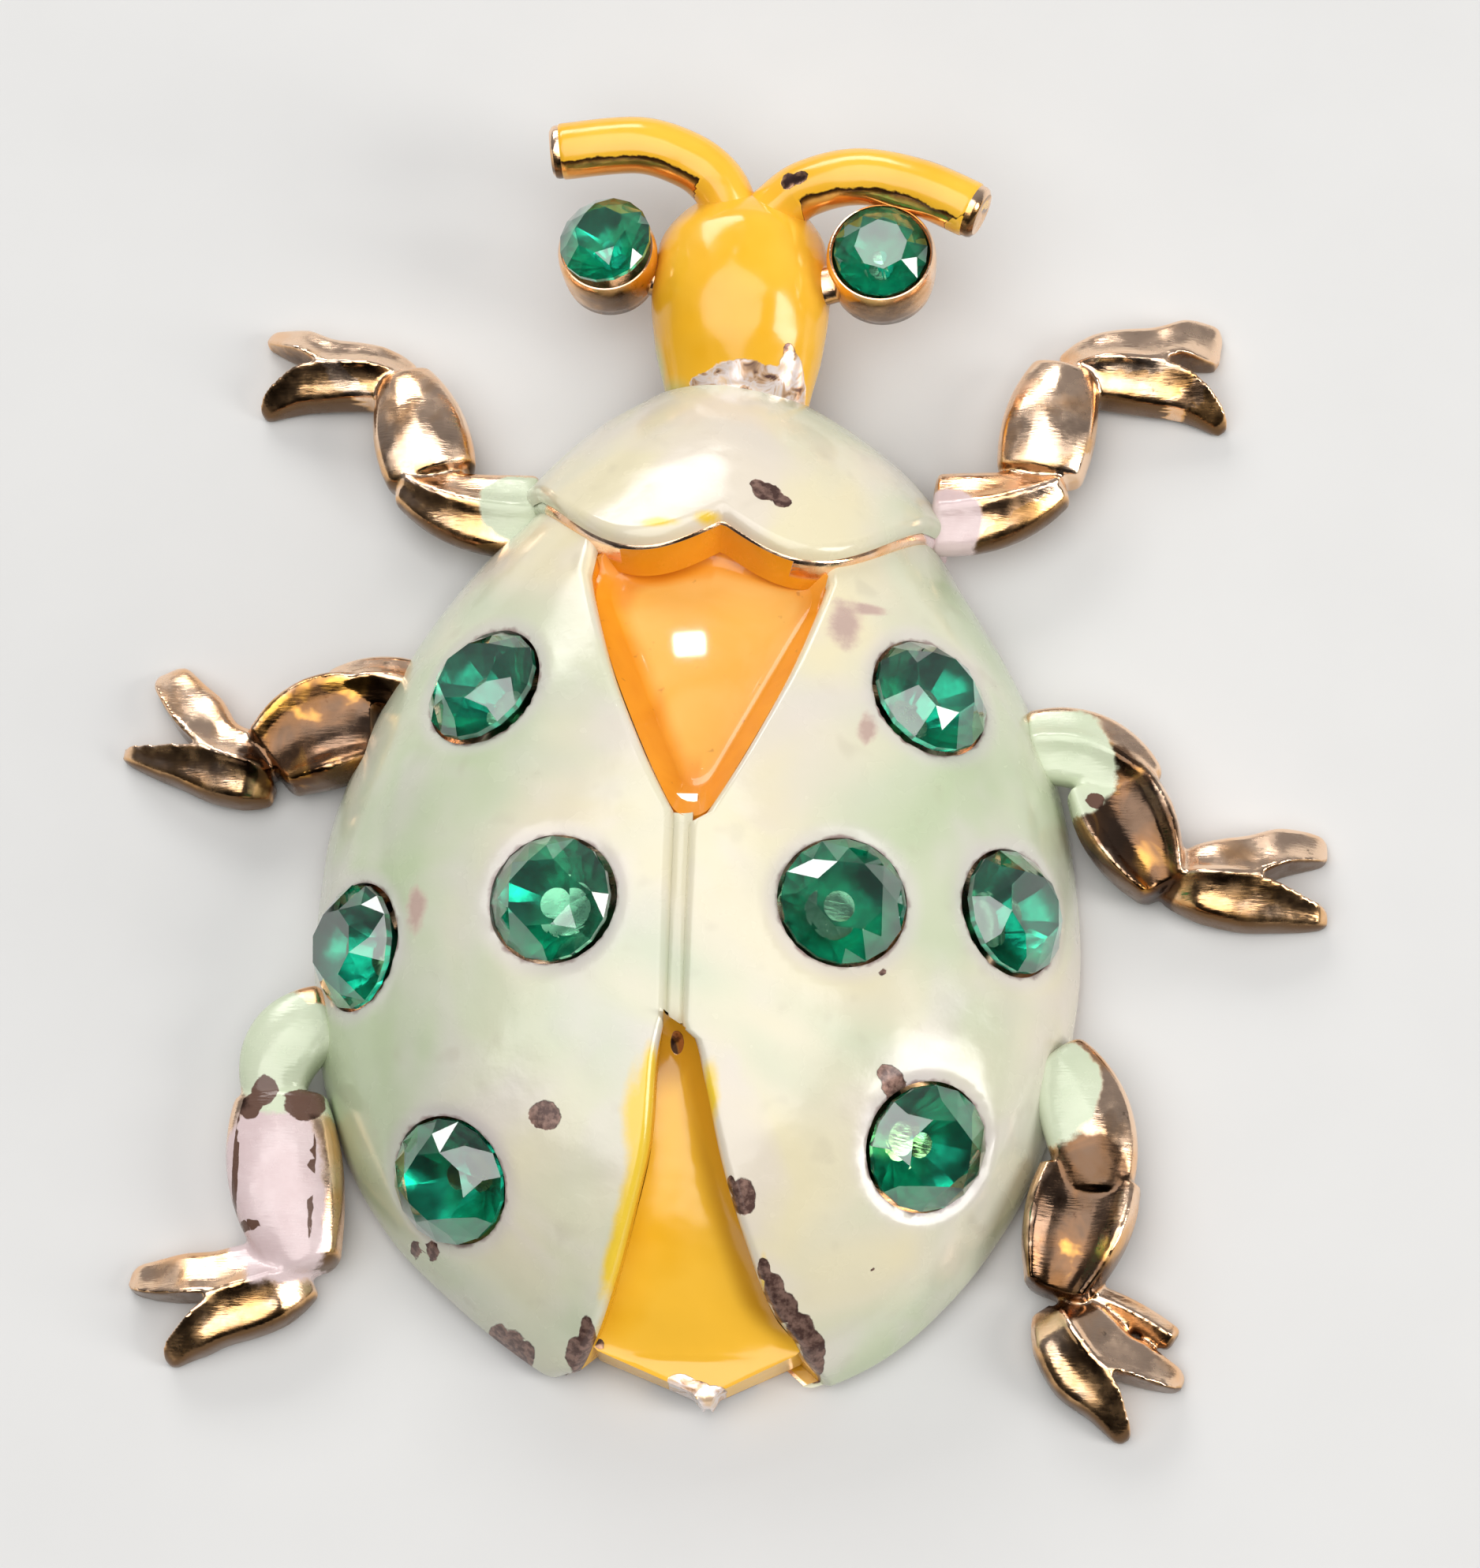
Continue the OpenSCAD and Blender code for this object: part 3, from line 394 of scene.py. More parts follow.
class Look:
    # the nodes of a material or of the world, with short ways to add to them
    def __init__(self, owner):
        owner.use_nodes = True
        self.owner, self.tree = owner, owner.node_tree
        self.end = self.tree.nodes.get("Principled BSDF") or self.tree.nodes["Background"]

    def fill(self, node, inputs):
        for key, value in inputs.items():
            socket = node.inputs[key]
            if isinstance(value, bpy.types.NodeSocket):
                self.tree.links.new(value, socket)
            else:
                socket.default_value = (*value, 1) if socket.type == "RGBA" else value

    def put(self, inputs):
        self.fill(self.end, inputs)

    def make(self, kind, inputs, output=0, **settings):
        node = self.tree.nodes.new(kind)
        for key, value in settings.items():
            setattr(node, key, value)
        self.fill(node, inputs)
        return node.outputs[output]

    def space(self, *stretch):  # object coordinates in mm
        coords = self.make("ShaderNodeTexCoord", {}, "Object")
        return self.make("ShaderNodeMapping", {"Vector": coords, "Scale": tuple(s / mm for s in stretch)})

    def noise(self, scale, detail=3.0, rough=0.5, swirl=0.0, space=None):
        return self.make("ShaderNodeTexNoise", {
            "Vector": self.here if space is None else space, "Scale": scale, "Detail": detail,
            "Roughness": rough, "Distortion": swirl}, "Fac")

    def ramp(self, value, *stops):
        node = self.tree.nodes.new("ShaderNodeValToRGB")
        marks = node.color_ramp.elements
        for mark, (place, colour) in ((marks[0], stops[0]), (marks[1], stops[-1])):
            mark.position, mark.color = place, (*colour, 1)
        for place, colour in stops[1:-1]:
            marks.new(place).color = (*colour, 1)
        self.fill(node, {"Fac": value})
        return node.outputs["Color"]

    def ranged(self, value, low, high, toLow=0.0, toHigh=1.0):
        return self.make("ShaderNodeMapRange", {
            "Value": value, "From Min": low, "From Max": high, "To Min": toLow, "To Max": toHigh}, "Result",
            interpolation_type="SMOOTHSTEP")

    def maths(self, kind, a, b=0.0):
        return self.make("ShaderNodeMath", {0: a, 1: b}, operation=kind)

    def plus(self, a, b):
        return self.maths("ADD", a, b)

    def minus(self, a, b):
        return self.maths("SUBTRACT", a, b)

    def times(self, a, b):
        return self.maths("MULTIPLY", a, b)

    def most(self, a, b):
        return self.maths("MAXIMUM", a, b)

    def mixed(self, share, a, b):
        return self.make("ShaderNodeMix", {0: share, 6: a, 7: b}, 2, data_type="RGBA")

    def tint(self, colour, value, low, high, most, other):  # up to this much of the other colour
        return self.mixed(self.ranged(value, low, high, 0.0, most), colour, other)

    def part(self, vector, axis):
        return self.make("ShaderNodeSeparateXYZ", {0: vector}, axis)

    def field(self, name):
        return self.make("ShaderNodeAttribute", {}, "Fac", attribute_name=name)

    def shaken(self, value, grain, amount):
        return self.plus(value, self.times(self.minus(grain, 0.5), amount))

    def mask(self, name="chip", low=0.62, high=0.70, scale=2.2, amount=0.55):
        return self.ranged(self.shaken(self.field(name), self.noise(scale, 4.0, 0.6), amount), low, high)

    def bump(self, height, strength, depth):
        self.put({"Normal": self.make("ShaderNodeBump", {
            "Height": height, "Strength": strength, "Distance": depth})})


def newLook(name):
    look = Look(bpy.data.materials.new(name))
    look.here = look.space(1, 1, 1)
    return look


mintLook = {
    "mint": (0.58, 0.62, 0.45), "green": (0.49, 0.57, 0.37), "pearl": (0.71, 0.67, 0.50),
    "lavender": (0.70, 0.62, 0.64), "warm": (0.76, 0.69, 0.47), "chipMetal": (0.10, 0.05, 0.04),
    "chipLight": (0.30, 0.18, 0.14), "pinkMetal": (0.84, 0.62, 0.52), "slop": (0.84, 0.58, 0.05),
    # rim is the painted shade in the gap round each stone
    "rim": (0.26, 0.16, 0.15), "speck": (0.42, 0.37, 0.28), "roughness": 0.22,
}


def mintEnamel():
    c, look = mintLook, newLook("pearlMintEnamel")
    # painted shade: the tone turns darker and greener toward the dome's sloping sides
    outward = look.maths("ABSOLUTE", look.minus(look.part(look.here, 0), -0.6))
    tone = look.minus(look.noise(0.16, 2.0, 0.5, 0.5), look.ranged(outward, 2.0, 8.5, -0.05, 0.16))
    colour = look.ramp(tone, (0.26, c["green"]), (0.40, c["mint"]), (0.54, c["pearl"]), (0.64, c["warm"]))
    colour = look.tint(colour, look.noise(0.30, 2.0, 0.5, 0.6), 0.42, 0.72, 0.42, c["lavender"])
    colour = look.tint(colour, look.noise(1.2, 1.0), 0.62, 0.82, 0.22, c["speck"])
    colour = look.mixed(look.mask("slop", 0.45, 1.25, 1.2, 0.9), colour, c["slop"])
    pink = look.mask("pink", 0.50, 1.15, 2.2, 0.9)
    colour = look.mixed(pink, colour, c["pinkMetal"])
    ring = look.field("ring")
    colour = look.tint(colour, ring, 0.1, 0.9, 0.45, c["lavender"])
    # painted shade in the gap round each stone: a dark, mottled ring at the seat's edge
    seatGapShade = look.plus(ring, look.times(look.noise(2.6), 0.5))
    colour = look.tint(colour, seatGapShade, 1.10, 1.30, 0.85, c["rim"])
    chip = look.mask()
    rust = look.ramp(look.noise(5.0, 3.0, 0.6), (0.42, c["chipMetal"]), (0.62, c["chipLight"]))
    gloss = look.ranged(look.noise(0.9), 0.35, 0.7, c["roughness"] - 0.06, c["roughness"] + 0.10)
    waves = look.plus(look.noise(0.45, 2.0), look.times(look.noise(4.0, 2.0), 0.05))
    look.bump(look.minus(waves, look.times(chip, 0.40)), 0.5, 0.00022)
    look.put({"Base Color": look.mixed(chip, colour, rust),
              "Metallic": look.times(look.most(chip, look.times(pink, 0.7)), 0.7),
              "Roughness": look.plus(gloss, look.times(chip, 0.25)), "Coat Weight": 0.5,
              "Coat Roughness": 0.13})
    return look.owner


yellowLook = {
    "deep": (0.89, 0.46, 0.020), "light": (0.95, 0.53, 0.045), "shade": (0.52, 0.24, 0.012),
    "mintRun": (0.58, 0.66, 0.26), "gold": [(0.50, (0.12, 0.05, 0.02)), (0.62, (0.40, 0.17, 0.03)),
                                            (0.80, (0.85, 0.44, 0.10))],
    "rust": [(0.42, (0.09, 0.045, 0.04)), (0.55, (0.45, 0.25, 0.15))],
    "platedWithHighlight": [(0.33, (0.14, 0.07, 0.06)), (0.41, (0.72, 0.46, 0.28)), (0.50, (0.96, 0.86, 0.84)),
               (0.66, (0.95, 0.68, 0.44))],
}


def yellowEnamel():
    c, look = yellowLook, newLook("yellowEnamel")
    clouds = look.noise(0.35)
    colour = look.ramp(clouds, (0.35, c["deep"]), (0.60, c["light"]))
    colour = look.tint(colour, look.field("shade"), 0.15, 0.85, 0.85, c["shade"])
    green = look.plus(look.field("mintRun"), look.times(clouds, 0.5))
    colour = look.tint(colour, green, 0.5, 1.2, 0.85, c["mintRun"])
    facing = look.shaken(look.field("bare"), look.noise(1.6, 4.0, 0.6), 0.7)
    bare = look.ranged(facing, 0.40, 0.50)
    colour = look.mixed(bare, colour, look.ramp(facing, *c["gold"]))
    chip = look.mask()
    colour = look.mixed(chip, colour, look.ramp(look.noise(3.4), *c["rust"]))
    # the bare neck patch: its dark marks are real, its near-white tone is a painted highlight
    patch = look.mask("patch", 0.60, 0.68, 1.6, 0.5)
    colour = look.mixed(patch, colour, look.ramp(look.noise(1.9, 3.0, 0.55, 0.8), *c["platedWithHighlight"]))
    metal = look.most(look.times(patch, 0.45), look.most(chip, bare))
    height = look.minus(look.noise(0.6, 2.0), look.times(look.most(chip, patch), 0.4))
    look.bump(height, 0.4, 0.0002)
    look.put({"Base Color": colour, "Metallic": look.times(metal, 0.85),
              "Roughness": look.ranged(look.noise(1.2), 0.3, 0.7, 0.14, 0.26), "Coat Weight": 0.35,
              "Coat Roughness": 0.09})
    return look.owner


# deep is the painted shade on the shield's walls, light the tone of its floor
orangeLook = {
    "deep": [(0.35, (0.76, 0.25, 0.008)), (0.65, (0.86, 0.33, 0.016))],
    "light": [(0.35, (0.86, 0.40, 0.045)), (0.65, (0.90, 0.46, 0.090))], "speck": (0.35, 0.11, 0.01),
}


def orangeEnamel():
    c, look = orangeLook, newLook("orangeEnamel")
    clouds = look.noise(0.5, 3.0, 0.5, 0.5)
    # the walls take the deep tone as painted shade, the floor the light one
    colour = look.mixed(look.field("clearOfWallShade"), look.ramp(clouds, *c["deep"]), look.ramp(clouds, *c["light"]))
    speck = look.ranged(look.noise(3.0, 2.0), 0.68, 0.76, 0.0, 0.45)
    look.bump(look.noise(0.35, 1.0), 0.015, 0.0002)
    look.put({"Base Color": look.mixed(speck, colour, c["speck"]),
              "Roughness": look.ranged(look.noise(1.0), 0.3, 0.7, 0.34, 0.44), "Coat Weight": 0.5,
              "Coat Roughness": 0.02})
    return look.owner


goldLook = {
    "bright": (1.00, 0.72, 0.51), "warm": (0.97, 0.57, 0.30), "amber": (0.78, 0.38, 0.07),
    "tarnishAndShade": (0.06, 0.03, 0.017), "brown": (0.14, 0.06, 0.022), "chip": (0.13, 0.07, 0.05),
    "roughness": 0.20,
    "lavender": ((0.56, 0.40, 0.40), (0.84, 0.72, 0.72)), "mint": ((0.54, 0.63, 0.43), (0.68, 0.72, 0.56)),
    "orange": ((0.70, 0.22, 0.006), (0.84, 0.33, 0.014)), "ochre": ((0.62, 0.30, 0.012), (0.86, 0.48, 0.025)),
}


def castGold(name, painted):
    c, look = goldLook, newLook(name)
    colour = look.ramp(look.noise(0.6, 3.0, 0.55, 0.4), (0.34, c["warm"]), (0.52, c["bright"]))
    normal = look.make("ShaderNodeNewGeometry", {}, "Normal")
    # painted shade: faces turned toward the tail and downward darken to amber and near black, broken up by
    # mottling
    away = look.minus(look.times(look.part(normal, 1), -1.0), look.times(look.part(normal, 2), 0.35))
    mottle = look.noise(0.9, 4.0, 0.6)
    away = look.shaken(away, mottle, 0.9)
    # the collar's lip and the eye cups keep less of this painted shade
    if painted:
        away = look.minus(away, look.field("lip"))
    colour = look.tint(colour, away, -0.15, 0.20, 0.60, c["amber"])
    colour = look.tint(colour, away, 0.12, 0.62, 0.86, c["tarnishAndShade"])
    # tarnish in random spots
    colour = look.tint(colour, look.noise(2.6, 4.0, 0.7), 0.64, 0.74, 0.55, c["tarnishAndShade"])
    metallic = 1.0
    if painted:
        # painted dark reflection across the hollow faces of the dished shins
        hollow = look.shaken(look.field("hollow"), mottle, 1.1)
        hollowDarkReflection = look.ramp(look.noise(0.7, 3.0, 0.5, 0.5), (0.44, c["tarnishAndShade"]), (0.58, c["brown"]),
                           (0.70, c["amber"]))
        colour = look.tint(colour, hollow, 0.45, 0.75, 0.92, hollowDarkReflection)
        masks = {"lavender": look.mask("lavender", 0.55, 0.68, 1.1, 0.5),
                 "mint": look.mask("mint", 0.55, 0.66, 1.2, 0.5),
                 "orange": look.ranged(look.field("orange"), 0.4, 0.6),
                 "ochre": look.ranged(look.field("ochre"), 0.4, 0.6)}
        coated = 0.0
        for key, mask in masks.items():
            colour = look.mixed(mask, colour, look.mixed(mottle, *c[key]))
            coated = look.most(coated, mask)
        colour = look.mixed(look.mask(), colour, c["chip"])
        metallic = look.minus(1.0, look.times(coated, 0.95))
    scratches = look.noise(3.0, 2.0, space=look.space(1, 6, 1))
    look.bump(look.plus(look.noise(0.5, 2.0), look.times(scratches, 0.05)), 0.5, 0.0002)
    look.put({"Base Color": colour, "Metallic": metallic,
              "Roughness": look.ranged(look.noise(1.4, 4.0, 0.6), 0.3, 0.75, c["roughness"] - 0.08,
                                       c["roughness"] + 0.16)})
    return look.owner


stoneLook = {"glass": [(0.35, (0.26, 0.86, 0.72)), (0.65, (0.18, 0.80, 0.68))],
             "foil": [(0.35, (0.008, 0.20, 0.13)), (0.62, (0.02, 0.58, 0.39))]}


def stonePart(name, stops, scale, detail, rest):
    look = newLook(name)
    look.put({"Base Color": look.ramp(look.noise(scale, detail), *stops), **rest})
    return look.owner


mintCoat, yellowCoat, orangeCoat = mintEnamel(), yellowEnamel(), orangeEnamel()
gold, plainGold = castGold("castPinkGold", True), castGold("pinMetal", False)
glass = stonePart("greenStoneGlass", stoneLook["glass"], 0.5, 2.0, {
    "Transmission Weight": 1.0, "Roughness": 0.015, "IOR": 1.55, "Coat Weight": 1.0, "Coat IOR": 1.9,
    "Coat Roughness": 0.02})
foil = stonePart("greenStoneFoil", stoneLook["foil"], 0.9, 3.0, {"Metallic": 0.8, "Roughness": 0.22})
print("materials made")

# share of the half width and of the length, tilt and turn in degrees
stonePlaces = {
    "stone_front_left": (-0.55, 0.206, 3, 120), "stone_front_right": (0.605, 0.206, 0, 0),
    "stone_inner_left": (-0.33, -0.018, 6, 180), "stone_inner_right": (0.405, -0.014, 0, 0),
    "stone_outer_left": (-0.865, -0.037, 0, 0), "stone_outer_right": (0.83, 0.004, 0, 0),
    "stone_rear_left": (-0.585, -0.266, 6, 50), "stone_rear_right": (0.625, -0.228, 0, 0),
}
stones = {"size": 3.05, "table": 0.56, "crown": 0.20, "girdle": 0.05, "pavilion": 0.38, "culet": 0.14,
          "star": 0.80, "starLift": 0.103, "waist": 0.62, "waistDrop": 0.46, "seatGap": 0.06}
seatRadius = stones["size"] / 2 + stones["seatGap"]
head = {"x": 0.06 * body["halfWidth"], "y": 0.525 * body["length"], "width": 3.95, "length": 5.7, "height": 4.1}
eyes = {"size": 2.35, "top": head["height"] * 0.98}
# share of the head's width and length, tilt and turn in degrees, lift in mm, size
eyePlaces = {"left": (-0.84, 0.70, 12, 150, 0.30, 1.10), "right": (0.91, 0.67, 4, 300, 0.10, 1.03)}


def turned(degrees, axis):
    return Matrix.Rotation(math.radians(degrees), 4, axis)


def plainZ(x, y):
    # the CAD's own dome, straight between its rows
    half = np.interp(y / body["length"], bodyRows[:, 0], bodyRows[:, 1 if x < 0 else 2]) * body["halfWidth"]
    return plainCrown(y) * math.sqrt(max(1 - (x / half) ** 2, 0))


def seatMatrix(place):
    x, y, d = place[0] * body["halfWidth"], place[1] * body["length"], 0.4
    dx = (plainZ(x + d, y) - plainZ(x - d, y)) / (2 * d)
    dy = (plainZ(x, y + d) - plainZ(x, y - d)) / (2 * d)
    n = Vector((-dx, -dy, 1)).normalized()
    heading = math.atan2(n.y, n.x)
    return (Matrix.Translation((x, y, plainZ(x, y))) @ Matrix.Rotation(heading, 4, "Z")
            @ Matrix.Rotation(math.acos(n.z), 4, "Y")
            @ Matrix.Rotation(math.radians(place[3]) - heading, 4, "Z")
            @ turned(place[2], "Y") @ Matrix.Translation((0, 0, body["coat"])))


def eyeMatrix(place):
    across, along, tilt, turn, lift, size = place
    return (Matrix.Translation((head["x"] + across * head["width"], head["y"] + along * head["length"],
                                eyes["top"] + lift))
            @ turned(turn, "Z") @ turned(tilt, "Y") @ Matrix.Scale(size, 4))


def cutStone():
    # a round stone a millimetre across: table, star and bezel facets, girdle, pavilion
    s, r = stones, 0.5
    points, faces = [], []

    def ringAt(radius, z, count, turn):
        start = len(points)
        for k in range(count):
            t = 2 * math.pi * (k + turn) / count
            points.append((radius * math.cos(t), radius * math.sin(t), z))
        return start

    table = ringAt(r * s["table"], s["crown"], 8, 0.5)
    star = ringAt(r * s["star"], s["starLift"], 8, 0.0)
    upper = ringAt(r, 0.0, 16, 0.0)
    lower = ringAt(r, -s["girdle"], 16, 0.0)
    waist = ringAt(r * s["waist"], -s["girdle"] - s["pavilion"] * s["waistDrop"], 8, 0.0)
    culet = ringAt(r * s["culet"], -s["girdle"] - s["pavilion"], 8, 0.5)
    faces.append(tuple(table + k for k in range(8)))
    for k in range(8):
        j, h, i = (k + 1) % 8, 2 * k, (2 * k + 2) % 16
        faces += [(table + k, star + k, table + (k - 1) % 8),  # star facet
                  (table + k, star + k, upper + h + 1, star + j),  # bezel kite
                  (star + k, upper + h, upper + h + 1), (star + j, upper + h + 1, upper + i),
                  (upper + h, lower + h, lower + h + 1, upper + h + 1),
                  (upper + h + 1, lower + h + 1, lower + i, upper + i)]
    clear = len(faces)
    for k in range(8):
        j, h = (k + 1) % 8, 2 * k
        faces += [(lower + h, waist + k, lower + h + 1), (lower + h + 1, waist + j, lower + (h + 2) % 16),
                  (lower + h + 1, waist + k, culet + k, waist + j),
                  (waist + k, culet + (k - 1) % 8, culet + k)]
    faces.append(tuple(culet + k for k in range(8)))
    mesh = bpy.data.meshes.new("cutStone")
    mesh.from_pydata([tuple(c * mm for c in p) for p in points], [], faces)
    flag = mesh.attributes.new("foiled", "BOOLEAN", "FACE")
    flag.data.foreach_set("value", [i >= clear for i in range(len(faces))])
    reworked(mesh, lambda work: bmesh.ops.recalc_face_normals(work, faces=work.faces))
    return linked("cutStone", mesh)


def settingTree():
    # Geometry Nodes that set the cut stone on points, each turned by its point
    tree = bpy.data.node_groups.new("stoneSetting", "GeometryNodeTree")
    for name, kind in (("Geometry", "Geometry"), ("Stone", "Object"), ("Stone size", "Float"),
                       ("Glass", "Material"), ("Foil", "Material")):
        tree.interface.new_socket(name, in_out="INPUT", socket_type="NodeSocket" + kind)
    tree.interface.new_socket("Geometry", in_out="OUTPUT", socket_type="NodeSocketGeometry")
    kinds = {"given": "NodeGroupInput", "out": "NodeGroupOutput", "info": "GeometryNodeObjectInfo",
             "place": "GeometryNodeInstanceOnPoints", "turn": "GeometryNodeInputNamedAttribute",
             "asTurn": "FunctionNodeEulerToRotation", "real": "GeometryNodeRealizeInstances",
             "allGlass": "GeometryNodeSetMaterial", "backFoil": "GeometryNodeSetMaterial",
             "flag": "GeometryNodeInputNamedAttribute"}
    nodes = {key: tree.nodes.new(kind) for key, kind in kinds.items()}
    for key, kind, name in (("turn", "FLOAT_VECTOR", "turn"), ("flag", "BOOLEAN", "foiled")):
        nodes[key].data_type = kind
        nodes[key].inputs["Name"].default_value = name
    for source, output, target, socket in (
            ("given", "Geometry", "place", "Points"), ("given", "Stone", "info", "Object"),
            ("info", "Geometry", "place", "Instance"), ("turn", "Attribute", "asTurn", 0),
            ("asTurn", 0, "place", "Rotation"), ("given", "Stone size", "place", "Scale"),
            ("place", "Instances", "real", "Geometry"), ("real", "Geometry", "allGlass", "Geometry"),
            ("given", "Glass", "allGlass", "Material"), ("allGlass", "Geometry", "backFoil", "Geometry"),
            ("flag", "Attribute", "backFoil", "Selection"), ("given", "Foil", "backFoil", "Material"),
            ("backFoil", "Geometry", "out", "Geometry")):
        tree.links.new(nodes[source].outputs[output], nodes[target].inputs[socket])
    return tree


def setStones(name, matrices, size, cut, tree, *cadNodes):
    mesh = bpy.data.meshes.new(name)
    mesh.from_pydata([tuple(m.translation * mm) for m in matrices], [], [])
    turns = mesh.attributes.new("turn", "FLOAT_VECTOR", "POINT")
    turns.data.foreach_set("vector", [c for m in matrices for c in m.to_euler()])
    piece = linked(name, mesh)
    setting = piece.modifiers.new("setting", "NODES")
    setting.node_group = tree
    given = {s.name: s.identifier for s in tree.interface.items_tree if s.in_out == "INPUT"}
    for key, value in (("Stone", cut), ("Stone size", size), ("Glass", glass), ("Foil", foil)):
        setting[given[key]] = value
    dress(applied(piece), "green_stone", *cadNodes)


cut, setting = cutStone(), settingTree()
wingSeats = {name: seatMatrix(place) for name, place in stonePlaces.items()}
setStones("wingStones", wingSeats.values(), stones["size"], cut, setting, *stonePlaces)
setStones("eyeStones", [eyeMatrix(place) for place in eyePlaces.values()], eyes["size"], cut, setting,
          "eye_left", "eye_right")
bpy.data.objects.remove(cut)
print("stones set")

wing = {"rows": 150, "cols": 72, "front": 0.42, "roll": 0.24, "tipLeft": -0.4275, "tipRight": -0.4335,
        "dip": 0.12, "dipReach": 0.32}


def wingGrid(side, rimHeight, rows, cols):
    # places on a wing cover's grid and how far each lies from the cover's edge, in mm
    tip = wing["tipLeft"] if side < 0 else wing["tipRight"]
    a = tip + (wing["front"] - tip) * clustered(rows, 1.5)
    inner = side * angleAt(a, innerEdge(a * body["length"], side))
    rim = np.arccos(np.clip(rimHeight / (topAt(a) + body["coat"]), 0, 1))
    inner = np.minimum(inner, rim - 0.02)
    a, inner, rim = a[:, None], inner[:, None], rim[:, None]
    u = inner + (rim - inner) * clustered(cols, 1.9)[None, :]
    radius = np.sqrt((halfAt(a, side) * np.cos(u)) ** 2 + (topAt(a) * np.sin(u)) ** 2)
    steps = (radius[:, 1:] + radius[:, :-1]) / 2 * np.diff(u, axis=1)
    arc = np.concatenate([np.zeros((rows, 1)), np.cumsum(steps, axis=1)], axis=1)
    toEdge = np.minimum(np.minimum(arc, arc[:, -1:] - arc), (a - tip) * body["length"])
    return np.broadcast_to(a, u.shape), side * u, toEdge


def holesCut(piece, seats, low, high):
    # a round hole through the piece at each seat
    parts = [tubeOf(spun([(seatRadius, low), (seatRadius, high)], 56)) for _ in seats]
    parts = [([m @ Vector(p) for p in points], faces) for m, (points, faces) in zip(seats, parts)]
    cutter = solidFrom("cutter", *joined(parts))
    cut = piece.modifiers.new("holes", "BOOLEAN")
    cut.operation, cut.solver, cut.object = "DIFFERENCE", "EXACT", cutter
    applied(piece)
    bpy.data.objects.remove(cutter)
    smoothByAngle(piece, 38)


def grooveGrid(rows, cols, front, back, half):
    y = np.linspace(tail["y"] - back, shield["tipY"] + front, rows)[:, None]
    across = np.linspace(-half, half, cols)[None, :]
    return grooveX + across + 0 * y, y + 0 * across, across


def seamFill():
    # the enamel along the bottom of the groove between the covers
    half = 0.27
    x, y, across = grooveGrid(60, 11, 0.10, 0.12, half)
    z = domeZ(x, y) - 0.03 + 0.10 * (across / half) ** 2
    return sheetSlab(x, y, z, z - 0.30)


def wingCover(side, name, cadNode):
    seats = [m for key, m in wingSeats.items() if key.endswith("left" if side < 0 else "right")]
    a, u, edge = wingGrid(side, body["coatEdge"], wing["rows"], wing["cols"])
    lift = body["gap"] + (body["coat"] - body["gap"]) * rolled(edge, wing["roll"])
    away = fromSeats(domePoint(a, u, body["coat"]).reshape(-1, 3)).reshape(a.shape)
    lift = lift - wing["dip"] * np.clip(1 - away / wing["dipReach"], 0, 1) ** 2  # it dips to each stone
    cover = solidFrom(name, *slabOf(domePoint(a, u, lift), domePoint(a, u, body["gap"] - 0.02)))
    holesCut(cover, seats, -1.2, 1.0)
    if side < 0:
        merge(cover, solidFrom("seamFill", *seamFill()))
    cover.data.materials.append(mintCoat)
    wearFields(cover)
    dress(cover, "mint_enamel", cadNode)


wingCover(-1, "wingCoverLeft", "wing_enamel_left")
wingCover(1, "wingCoverRight", "wing_enamel_right")
print("wing covers made")


def collarGrid(rows, cols, rimHeight, shift, grow):
    # the places of the collar's grid, and how far each is from its scalloped edge and from its rim
    rim = math.acos(min(rimHeight / 4.5, 1))
    u = np.linspace(-rim, rim, cols)
    a = np.full(cols, 0.36)
    for _ in range(30):
        half = halfFor(a, u) + grow
        a = 0.5 * a + 0.5 * (scallopY(half * np.sin(u)) + shift) / (body["length"] + 2 * grow)
    grid = a + (collar["front"] - a) * clustered(rows, 1.8)[:, None]
    toScallop, toRim = (grid - a) * body["length"], (rim - np.abs(u)) * halfAt(grid, 1)
    return grid, np.broadcast_to(u, grid.shape), toScallop, toRim


def collarCoat():
    step = collar["step"]
    grid, u, toScallop, toRim = collarGrid(60, 150, body["coatEdge"], collar["line"], step + body["coat"])
    roll = rolled(np.minimum(toScallop, toRim), collar["roll"])
    lift = step + body["gap"] + (body["coat"] - body["gap"]) * roll
    coat = solidFrom("collarCoat", *slabOf(domePoint(grid, u, lift), domePoint(grid, u, step + 0.01)))
    coat.data.materials.append(mintCoat)
    wearFields(coat)
    dress(coat, "mint_enamel", "collar_enamel")


collarCoat()
print("collar made")


def shieldCurve(count):
    # the shield's outline with rounded corners, in its own plane
    corners = [np.array(c) * (shield["width"], shield["length"]) for c in shieldCorners]
    points = []
    for i, p in enumerate(corners):
        ends = []
        for other in (corners[i - 1], corners[(i + 1) % len(corners)]):
            run = np.linalg.norm(other - p)
            ends.append(p + (other - p) / run * min(shield["bend"], run / 2.1))
        for t in np.linspace(0, 1, 7):
            points.append((1 - t) ** 2 * ends[0] + 2 * t * (1 - t) * p + t**2 * ends[1])
    points = np.array(points + [points[0]])
    run = np.concatenate([[0], np.cumsum(np.linalg.norm(np.diff(points, axis=0), axis=1))])
    at = np.linspace(0, run[-1], count, endpoint=False)
    return np.stack([np.interp(at, run, points[:, k]) for k in (0, 1)], 1)


